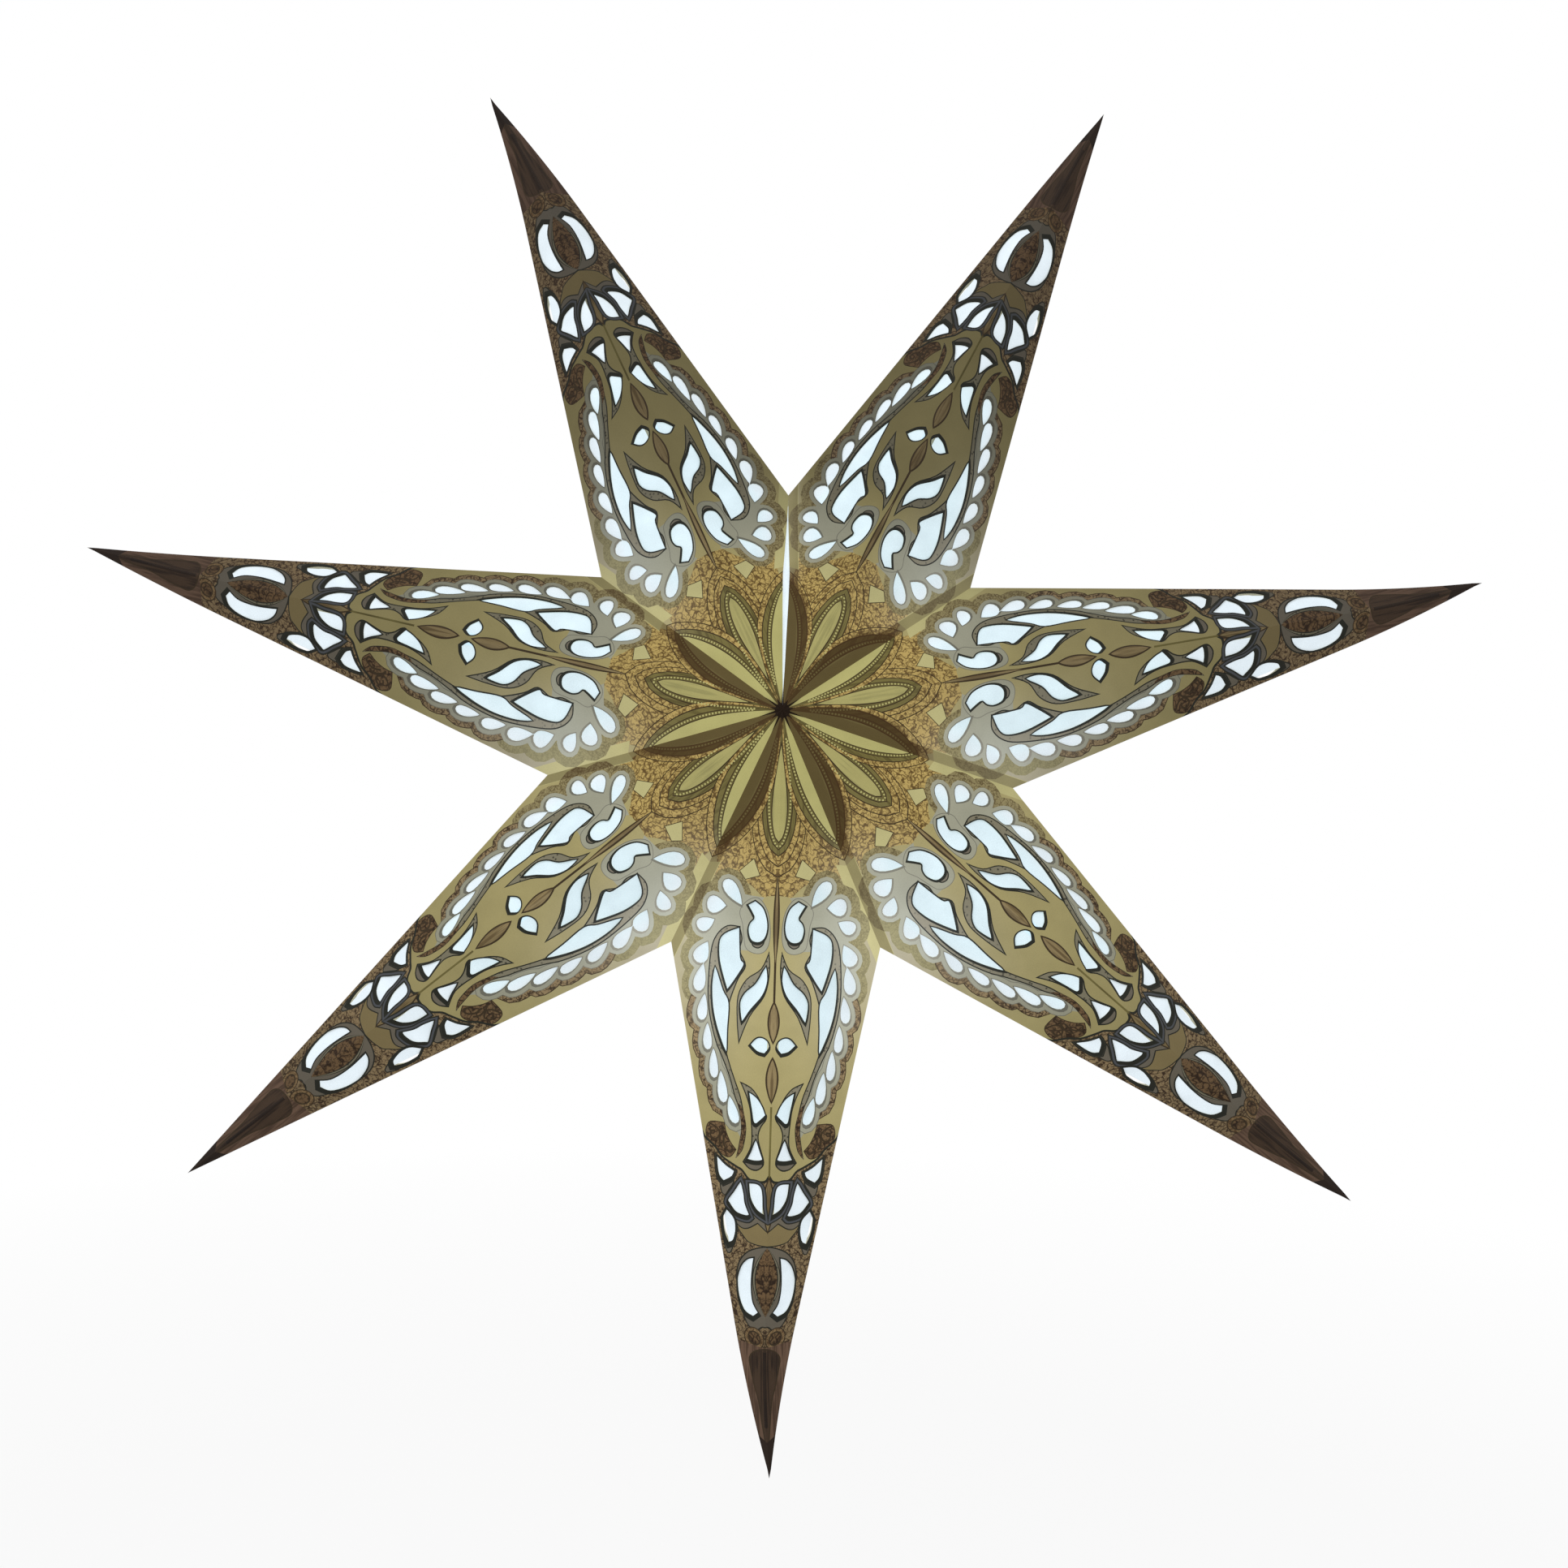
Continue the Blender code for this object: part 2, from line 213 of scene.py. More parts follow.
class MaterialSketch(NodeSketch):
    """A material that is being built around its Principled shader."""

    def __init__(self, name: str) -> None:
        """Start an empty material that ends in a Principled shader.

        Args:
            name: The material's name.
        """
        self.material = bpy.data.materials.new(name)
        self.material.use_nodes = True
        super().__init__(self.material.node_tree)
        self.shader = self.tree.nodes["Principled BSDF"]

    def dress(self, **sockets: object) -> bpy.types.Material:
        """Set the Principled shader's sockets and hand the material over.

        Args:
            sockets: Values by socket name, with an underscore for each space.

        Returns:
            The finished material.
        """
        for name, value in sockets.items():
            self.feed(self.shader.inputs[name.replace("_", " ")], value)
        return self.material


# Finishes

class PrintTexture(Enum):
    """What is printed inside one patch of ink."""

    PLAIN = auto()
    STIPPLED = auto()
    FILIGREE = auto()
    STREAKED = auto()


PLACE = "print_place"
GLOW = "lamp_glow"
DOUBLED_SHADE = "doubled_paper_shade"
PALE = "pale_light"


def around(level: float, spread: float, signal: Signal) -> Signal:
    """Vary a level with a signal, by half of a spread each way."""
    return level - spread / 2 + signal * spread


@dataclass(frozen=True)
class PaperStock:
    """The paper under the inks: its clouds and fibres, and the painted shade where a second layer of it
    holds back the lamp's light.

    The grain and the clearness are a level, then what the clouds and the fibres add to it.
    """

    cloud_scale: float = 95.0
    fibre_scale: float = 1500.0
    fibre_stretch: Triple = (1.0, 1.7, 1.0)
    fibre_depth: float = 0.00012
    fibre_strength: float = 0.35
    detail: float = 3.0
    grain: Triple = (0.80, 0.14, 0.26)
    clearness: Triple = (0.74, 0.32, 0.20)
    pale_gain: float = 0.4
    gloss: float = 0.15
    roughness_spread: float = 0.2
    # Painted shade: the darker colours, in plain light and in the lamp's light, where the paper lies
    # double.
    doubled_shade_body: Colour = (0.085, 0.042, 0.014)
    doubled_shade_shine: Colour = (0.140, 0.066, 0.020)
    doubled_shade_body_share: float = 0.60
    doubled_shade_shine_share: float = 0.27


@dataclass(frozen=True)
class PrintedMarks:
    """How closely the marks of the print are spaced, per metre, and how strong they are."""

    dots: float = 620.0
    streaks: Triple = (60.0, 900.0, 1.0)
    streak_level: float = 0.46
    streak_contrast: float = 7.0
    stems: float = 330.0
    curls: float = 640.0
    curl_weight: float = 0.75
    seeds: float = 700.0
    seed_weight: float = 0.4
    bends: float = 300.0
    bend_reach: float = 0.0016


STOCK = PaperStock()
MARKS = PrintedMarks()


@dataclass(frozen=True)
class PaperInk:
    """One ink of the printed paper, in plain light and with the lamp's light through it."""

    name: str
    body: Colour
    shine: Colour
    texture: PrintTexture = PrintTexture.PLAIN
    figure: Colour = (0.0, 0.0, 0.0)
    figure_shine: Colour = (0.0, 0.0, 0.0)
    pale_shine: Colour = (0.40, 0.385, 0.33)
    roughness: float = 0.80
    fineness: float = 1.0
    doubled_shade_mix: float = 0.62

    @staticmethod
    def contour(cloud: Signal, level: float, fullness: float, steepness: float) -> Signal:
        """Draw a line wherever a cloudy value passes a level."""
        return (fullness - abs(cloud - level) * steepness).clamped()

    def dots(self, sketch: MaterialSketch, place: Signal, spacing: float,
             fullness: float, steepness: float) -> Signal:
        """Draw round dots, so many to the metre, that fade towards their rims."""
        return (fullness - sketch.cells(place, spacing * self.fineness) * steepness).clamped()

    def figure_mask(self, sketch: MaterialSketch, place: Signal) -> Signal:
        """Draw the figure that is printed in this patch.

        Args:
            sketch: The material that it belongs to.
            place: Where on the layout, in metres.

        Returns:
            One on the figure and nought off it.
        """
        if self.texture is PrintTexture.STIPPLED:
            return self.dots(sketch, place, MARKS.dots, fullness=1.7, steepness=5.0)
        if self.texture is PrintTexture.STREAKED:
            lines = sketch.noise(sketch.stretched(place, MARKS.streaks), 1.0, STOCK.detail)
            return ((lines - MARKS.streak_level) * MARKS.streak_contrast).clamped()
        wandering = sketch.shifted(place, MARKS.bends, MARKS.bend_reach)
        broad = sketch.noise(wandering, MARKS.stems * self.fineness, 1.0)
        narrow = sketch.noise(wandering, MARKS.curls * self.fineness, 1.0)
        stems = self.contour(broad, level=0.50, fullness=1.30, steepness=18.0)
        curls = self.contour(narrow, level=0.54, fullness=1.15, steepness=17.0)
        seeds = self.dots(sketch, wandering, MARKS.seeds, fullness=1.3, steepness=6.5)
        return stems.over(curls * MARKS.curl_weight).over(seeds * MARKS.seed_weight)

    def material(self) -> bpy.types.Material:
        """Build the ink's material.

        Returns:
            The material, which reads the sheet's places, light and painted shade.
        """
        sketch = MaterialSketch(self.name)
        place = sketch.kept(PLACE, "Vector")
        glow, doubled_shade, pale = (sketch.kept(label, "Fac") for label in (GLOW, DOUBLED_SHADE, PALE))
        clouds = sketch.noise(place, STOCK.cloud_scale, STOCK.detail)
        fibres = sketch.noise(sketch.stretched(place, STOCK.fibre_stretch), STOCK.fibre_scale, STOCK.detail)
        body: Colour | Signal = self.body
        shine: Colour | Signal = self.shine
        if self.texture is not PrintTexture.PLAIN:
            mask = self.figure_mask(sketch, place)
            body = sketch.mixed(mask, self.body, self.figure)
            shine = sketch.mixed(mask, self.shine, self.figure_shine)
        grain, clearness = (level + clouds * by_clouds + fibres * by_fibres
                            for level, by_clouds, by_fibres in (STOCK.grain, STOCK.clearness))
        # Painted shade: where the paper lies double, its colour and the lamp's light through it are both
        # darkened.
        doubled_shade_body = sketch.scaled(sketch.mixed(self.doubled_shade_mix, body, STOCK.doubled_shade_body),
                                     STOCK.doubled_shade_body_share)
        doubled_shade_shine = sketch.scaled(sketch.mixed(self.doubled_shade_mix, shine, STOCK.doubled_shade_shine),
                                      STOCK.doubled_shade_shine_share)
        lit = sketch.mixed(doubled_shade, sketch.mixed(pale, shine, self.pale_shine), doubled_shade_shine)
        return sketch.dress(
            Base_Color=sketch.scaled(sketch.mixed(doubled_shade, body, doubled_shade_body), grain),
            Emission_Color=sketch.scaled(lit, (glow + pale * STOCK.pale_gain) * clearness),
            Emission_Strength=1.0,
            Specular_IOR_Level=STOCK.gloss,
            Roughness=around(self.roughness, STOCK.roughness_spread, fibres),
            Normal=sketch.bump(fibres, STOCK.fibre_depth, STOCK.fibre_strength),
        )


@dataclass(frozen=True)
class TurnedFinish:
    """A finish for the lamp's pieces: plastic, glass or metal with its fine marks and smears."""

    name: str
    body: Colour
    roughness: float
    metallic: float = 0.0
    shine: Colour = (0.0, 0.0, 0.0)
    shine_strength: float = 0.0
    mark_scale: float = 500.0
    mark_depth: float = 0.00005
    mark_strength: float = 0.3
    mark_detail: float = 4.0
    smear_size: float = 9.0
    body_spread: float = 0.28
    roughness_spread: float = 0.16
    shine_spread: float = 0.12

    def material(self) -> bpy.types.Material:
        """Build the finish's material.

        Returns:
            The material, with faint handling marks.
        """
        sketch = MaterialSketch(self.name)
        place = Signal(sketch, sketch.node("ShaderNodeTexCoord").outputs["Object"])
        marks = sketch.noise(place, self.mark_scale, self.mark_detail)
        smears = sketch.noise(place, self.mark_scale / self.smear_size)
        return sketch.dress(
            Base_Color=sketch.scaled(self.body, around(1.0, self.body_spread, smears)),
            Metallic=self.metallic,
            Roughness=around(self.roughness, self.roughness_spread, smears),
            Emission_Color=sketch.scaled(self.shine, around(1.0, self.shine_spread, smears)),
            Emission_Strength=self.shine_strength,
            Normal=sketch.bump(marks, self.mark_depth, self.mark_strength),
        )


class Ink(Enum):
    """The inks and bare papers of the sheet, each with its finish."""

    GROUND = PaperInk("khaki_ground", (0.080, 0.065, 0.028), (0.370, 0.322, 0.140))
    # Partly print and partly painted light: this pale grey ground is lighter where it rings the bright
    # border drops, standing in for the glow spreading from them.
    PALE_GROUND_AND_GLOW = PaperInk("pale_border_ground_and_glow", (0.080, 0.078, 0.058), (0.318, 0.315, 0.235),
                           pale_shine=(0.44, 0.46, 0.41))
    STRIP = PaperInk("cream_valley_strip", (0.125, 0.113, 0.055), (0.440, 0.405, 0.185),
                     pale_shine=(0.46, 0.43, 0.24))
    KNOT = PaperInk("dark_centre", (0.010, 0.005, 0.003), (0.003, 0.002, 0.001), doubled_shade_mix=0.10)
    DARK_BAND = PaperInk("dark_bar", (0.040, 0.042, 0.046), (0.050, 0.054, 0.060))
    CUP = PaperInk("grey_cup", (0.062, 0.054, 0.042), (0.125, 0.108, 0.078))
    BOW = PaperInk("brown_khaki_bow", (0.078, 0.060, 0.027), (0.215, 0.165, 0.072))
    LACE = PaperInk("gold_lace", (0.100, 0.064, 0.030), (0.235, 0.160, 0.075), PrintTexture.FILIGREE,
                    (0.045, 0.024, 0.010), (0.070, 0.040, 0.016), fineness=1.5)
    TIP_LEAF = PaperInk("tip_leaf", (0.036, 0.021, 0.012), (0.040, 0.024, 0.013), PrintTexture.STREAKED,
                        (0.018, 0.010, 0.006), (0.010, 0.006, 0.003))
    OUTLINE = PaperInk("dark_outline", (0.014, 0.014, 0.010), (0.008, 0.009, 0.006),
                       pale_shine=(0.055, 0.060, 0.065))
    SOFT_OUTLINE = PaperInk("soft_outline", (0.060, 0.057, 0.043), (0.125, 0.124, 0.100))
    EDGE_FILIGREE = PaperInk("scalloped_filigree", (0.088, 0.073, 0.036), (0.250, 0.208, 0.098),
                             PrintTexture.FILIGREE, (0.046, 0.033, 0.014), (0.095, 0.070, 0.028),
                             pale_shine=(0.31, 0.30, 0.18), fineness=1.9)
    BAND = PaperInk("stippled_band", (0.076, 0.068, 0.045), (0.175, 0.160, 0.108), PrintTexture.STIPPLED,
                    (0.020, 0.018, 0.012), (0.024, 0.023, 0.015))
    FILIGREE = PaperInk("gold_filigree", (0.135, 0.098, 0.034), (0.415, 0.300, 0.098),
                        PrintTexture.FILIGREE, (0.046, 0.027, 0.009), (0.090, 0.052, 0.012), fineness=1.2)
    BROWN_FILIGREE = PaperInk("brown_filigree", (0.105, 0.073, 0.040), (0.250, 0.182, 0.090),
                              PrintTexture.FILIGREE, (0.026, 0.014, 0.007), (0.020, 0.012, 0.005),
                              pale_shine=(0.24, 0.20, 0.14), fineness=1.3)
    BROWN_LINE = PaperInk("brown_line", (0.030, 0.019, 0.009), (0.020, 0.013, 0.005),
                          pale_shine=(0.09, 0.075, 0.06))
    DARK_CURL = PaperInk("dark_curl", (0.070, 0.041, 0.020), (0.130, 0.082, 0.036), PrintTexture.FILIGREE,
                         (0.018, 0.009, 0.004), (0.012, 0.006, 0.002), fineness=1.0)
    PETAL = PaperInk("pale_petal", (0.130, 0.118, 0.046), (0.400, 0.375, 0.145))
    RIDGE_PETAL = PaperInk("ridge_petal", (0.115, 0.102, 0.040), (0.340, 0.312, 0.118),
                           PrintTexture.STREAKED, (0.096, 0.086, 0.034), (0.270, 0.250, 0.096))
    PETAL_BAND = PaperInk("olive_petal_band", (0.062, 0.052, 0.017), (0.140, 0.117, 0.036),
                          PrintTexture.STREAKED, (0.040, 0.032, 0.010), (0.085, 0.068, 0.020))
    BEAD_BAND = PaperInk("bead_band", (0.056, 0.046, 0.015), (0.100, 0.083, 0.026))
    LENS = PaperInk("brown_lens", (0.088, 0.064, 0.030), (0.235, 0.178, 0.082), PrintTexture.STREAKED,
                    (0.050, 0.033, 0.014), (0.110, 0.077, 0.032))
    TIP = PaperInk("dark_tip", (0.018, 0.010, 0.006), (0.008, 0.005, 0.003), PrintTexture.STREAKED,
                   (0.011, 0.006, 0.004), (0.004, 0.002, 0.001))
    TIP_SIDE = PaperInk("tip_side", (0.064, 0.038, 0.025), (0.165, 0.100, 0.062), PrintTexture.STREAKED,
                        (0.034, 0.019, 0.012), (0.075, 0.044, 0.025))
    INSIDE = PaperInk("unprinted_inside", (0.42, 0.38, 0.27), (0.34, 0.32, 0.24))

    @property
    def slot(self) -> int:
        """Give the ink's place in a sheet's list of materials."""
        return list(Ink).index(self)


LINING = PaperInk("white_lining", (0.44, 0.50, 0.56), (0.395, 0.497, 0.515),
                  pale_shine=(0.315, 0.346, 0.355), roughness=0.88)
OPAL_GLOBE = TurnedFinish("opal_globe", (0.78, 0.80, 0.82), 0.30,
                          shine=(0.92, 0.97, 1.0), shine_strength=0.38)
SCREW_CAP = TurnedFinish("screw_cap", (0.70, 0.70, 0.72), 0.28, metallic=1.0)
BLACK_PLASTIC = TurnedFinish("black_moulding", (0.028, 0.028, 0.030), 0.42)
STEEL_WIRE = TurnedFinish("drawn_steel", (0.56, 0.56, 0.58), 0.26, metallic=1.0, mark_scale=1500.0)


# The drawing of one facet

Outline = tuple[Pair, ...]
Shape = tuple[np.ndarray, Ink | None]
TINY = 1e-9
TRACED_SCALE = 10000


def traced(*numbers: int) -> Outline:
    """Pair up the stops of an outline, given in ten-thousandths of the point's length."""
    return tuple(zip(*([number / TRACED_SCALE for number in numbers[start::2]] for start in (0, 1))))


def smooth_span(before: np.ndarray, start: np.ndarray, end: np.ndarray, after: np.ndarray,
                steps: int) -> list[np.ndarray]:
    """Give places along a smooth span of a route.

    Args:
        before: The stop before the span.
        start: The stop where it starts.
        end: The stop where it ends.
        after: The stop after it.
        steps: How many places to give.

    Returns:
        The places from the span's start on, without its end.
    """
    return [(start * 2 + (end - before) * t + (before * 2 - start * 5 + end * 4 - after) * t ** 2
             + (start * 3 - before - end * 3 + after) * t ** 3) / 2
            for t in (step / steps for step in range(steps))]


def closed_curve(stops: Sequence[Pair], steps: int = 5, corner: float = math.radians(62)) -> np.ndarray:
    """Draw a closed outline through its stops, smooth but for its sharp corners.

    Args:
        stops: The outline's stops in order.
        steps: How many spans lie between two stops.
        corner: The turn above which a stop stays sharp.

    Returns:
        The outline's points, one row each.
    """
    points = [np.array(stop, float) for stop in stops]
    count = len(points)

    def sharp(index: int) -> bool:
        """Tell whether the outline turns hard at a stop.

        Args:
            index: The stop's number.

        Returns:
            True where it does.
        """
        before = points[index] - points[index - 1]
        after = points[(index + 1) % count] - points[index]
        turn = math.atan2(before[0] * after[1] - before[1] * after[0], float(before @ after))
        return abs(turn) > corner

    route = []
    for index in range(count):
        start, end = points[index], points[(index + 1) % count]
        before = start if sharp(index) else points[index - 1]
        after = end if sharp((index + 1) % count) else points[(index + 2) % count]
        route += smooth_span(before, start, end, after, steps)
    return np.array(route)


def teardrop(narrow: Pair, rounded: Pair, width: float, steps: int = 16,
             fullness: float = 0.65) -> np.ndarray:
    """Draw a border drop.

    Args:
        narrow: Its narrow end.
        rounded: Its round end.
        width: How wide it is, about.
        steps: How many points it has.
        fullness: How much of the width each of its sides takes up.

    Returns:
        The drop's closed outline.
    """
    start, end = np.array(narrow), np.array(rounded)
    run = end - start
    sideways = np.array((-run[1], run[0])) / np.linalg.norm(run)
    turns = [2 * math.pi * step / steps for step in range(steps)]
    return np.array([start + run * (1 - math.cos(turn)) / 2
                     + sideways * width * fullness * math.sin(turn) * abs(math.sin(turn / 2))
                     for turn in turns])


def grown(outline: np.ndarray, reach: float, shortest: float = 0.55) -> np.ndarray:
    """Move a closed outline outward.

    Args:
        outline: The outline.
        reach: How far it moves, inward where negative.
        shortest: What keeps its sharp corners from running away.

    Returns:
        The moved outline, with as many points.
    """
    following = np.roll(outline, -1, axis=0)
    area = float(np.sum(outline[:, 0] * following[:, 1] - outline[:, 1] * following[:, 0]))
    spans = following - outline
    lengths = np.maximum(np.linalg.norm(spans, axis=1, keepdims=True), TINY)
    normals = np.column_stack((spans[:, 1], -spans[:, 0])) / lengths * (1 if area > 0 else -1)
    mixed = normals + np.roll(normals, 1, axis=0)
    mixed = mixed / np.maximum(np.linalg.norm(mixed, axis=1, keepdims=True), TINY)
    spread = np.maximum(np.sum(mixed * normals, axis=1, keepdims=True), shortest)
    return outline + mixed * reach / spread


def framed(outline: np.ndarray, rim: Ink, width: float, fill: Ink) -> list[Shape]:
    """Paint an outline in one ink, and what lies inside its rim in another."""
    return [(outline, rim), (grown(outline, -width), fill)]


def stroke(stops: Sequence[Pair], half_width: float, steps: int = 5) -> np.ndarray:
    """Draw a line along a smooth route.

    Args:
        stops: The route's stops in order.
        half_width: Half the line's width.
        steps: How many spans lie between two stops.

    Returns:
        The line's closed outline.
    """
    points = [np.array(stop, float) for stop in stops]
    padded = [points[0] * 2 - points[1], *points, points[-1] * 2 - points[-2]]
    route = [place for stop in zip(padded, padded[1:], padded[2:], padded[3:])
             for place in smooth_span(*stop, steps)]
    line = np.array([*route, points[-1]])
    runs = np.gradient(line, axis=0)
    sideways = np.column_stack((-runs[:, 1], runs[:, 0])) / np.linalg.norm(runs, axis=1, keepdims=True)
    return np.vstack((line + sideways * half_width, (line - sideways * half_width)[::-1]))


def round_patch(middle: Pair, reaches: Pair, sides: int) -> np.ndarray:
    """Draw a round or oval patch with this many sides."""
    turns = np.arange(sides) * 2 * math.pi / sides
    return np.array(middle) + np.array(reaches) * np.column_stack((np.cos(turns), np.sin(turns)))


def petal(length: float, half_width: float, heading: float, start: float = 0.0, steps: int = 22,
          fullness: float = 1.3, roundness: float = 0.85) -> np.ndarray:
    """Draw a pointed petal that leaves the centre along a heading.

    Args:
        length: How far its point is from the centre.
        half_width: Half its width at its fullest.
        heading: The direction that it points in, from the ridge.
        start: How far its narrow end is from the centre.
        steps: How many spans each of its sides has.
        fullness: How far towards its point its fullest place lies.
        roundness: Below one its sides swell, above one they hollow.

    Returns:
        The petal's closed outline.
    """
    direction = np.array((math.cos(heading), math.sin(heading)))
    sideways = np.array((-direction[1], direction[0]))
    shares = np.linspace(0.0, 1.0, steps + 1)
    widths = half_width * np.sin(math.pi * shares ** fullness) ** roundness
    spine = start + (length - start) * shares
    right = spine[:, None] * direction + widths[:, None] * sideways
    left = spine[1:-1, None] * direction - widths[1:-1, None] * sideways
    return np.vstack((right, left[::-1]))


def inside(outline: np.ndarray, places: np.ndarray) -> np.ndarray:
    """Tell which places lie inside a closed outline, by how often it winds round them.

    Args:
        outline: The outline.
        places: The places, one row each.

    Returns:
        True for each place that is inside.
    """
    winding = np.zeros(len(places), int)
    x, y = places[:, 0], places[:, 1]
    for start, end in zip(outline, np.roll(outline, -1, axis=0)):
        side = (end[0] - start[0]) * (y - start[1]) - (x - start[0]) * (end[1] - start[1])
        winding += ((start[1] <= y) & (end[1] > y) & (side > 0)).astype(int)
        winding -= ((start[1] > y) & (end[1] <= y) & (side < 0)).astype(int)
    return winding != 0


@dataclass(frozen=True)
class PetalNest:
    """The petals that lie one in another on one crease, with the row of beads inside their band.

    Each petal has where it starts and ends along the crease, half its width and its ink.
    """

    fullness: float
    roundness: float
    bead_rail: Pair
    petals: tuple[tuple[float, float, float, Ink], ...]
    bead_radius: float = 0.0013
    bead_spacing: float = 0.0042
    bead_margin: float = 0.035
    bead_overhang: float = 0.001
    bead_sides: int = 6
    rail_steps: int = 200

    def outlines(self, heading: float) -> list[Shape]:
        """Draw the petals along a heading, from the outermost in."""
        return [(petal(length, half_width, heading, start, fullness=self.fullness,
                       roundness=self.roundness), ink) for start, length, half_width, ink in self.petals]

    def beads(self, heading: float) -> list[Shape]:
        """Draw the beads that line the inside of the petals' band.

        Args:
            heading: The direction of the crease, from the ridge.

        Returns:
            The beads on this side of the ridge, each with its ink.
        """
        rail = petal(*self.bead_rail, heading, 0.0, self.rail_steps, self.fullness, self.roundness)
        runs = np.concatenate(((0.0,), np.cumsum(np.linalg.norm(np.diff(rail, axis=0), axis=1))))
        beads = []
        for run in np.arange(self.bead_margin, runs[-1] - self.bead_margin, self.bead_spacing):
            middle = [np.interp(run, runs, rail[:, axis]) for axis in (0, 1)]
            if middle[1] >= -self.bead_overhang:
                reaches = (self.bead_radius, self.bead_radius)
                beads.append((round_patch(middle, reaches, self.bead_sides), Ink.PETAL))
        return beads


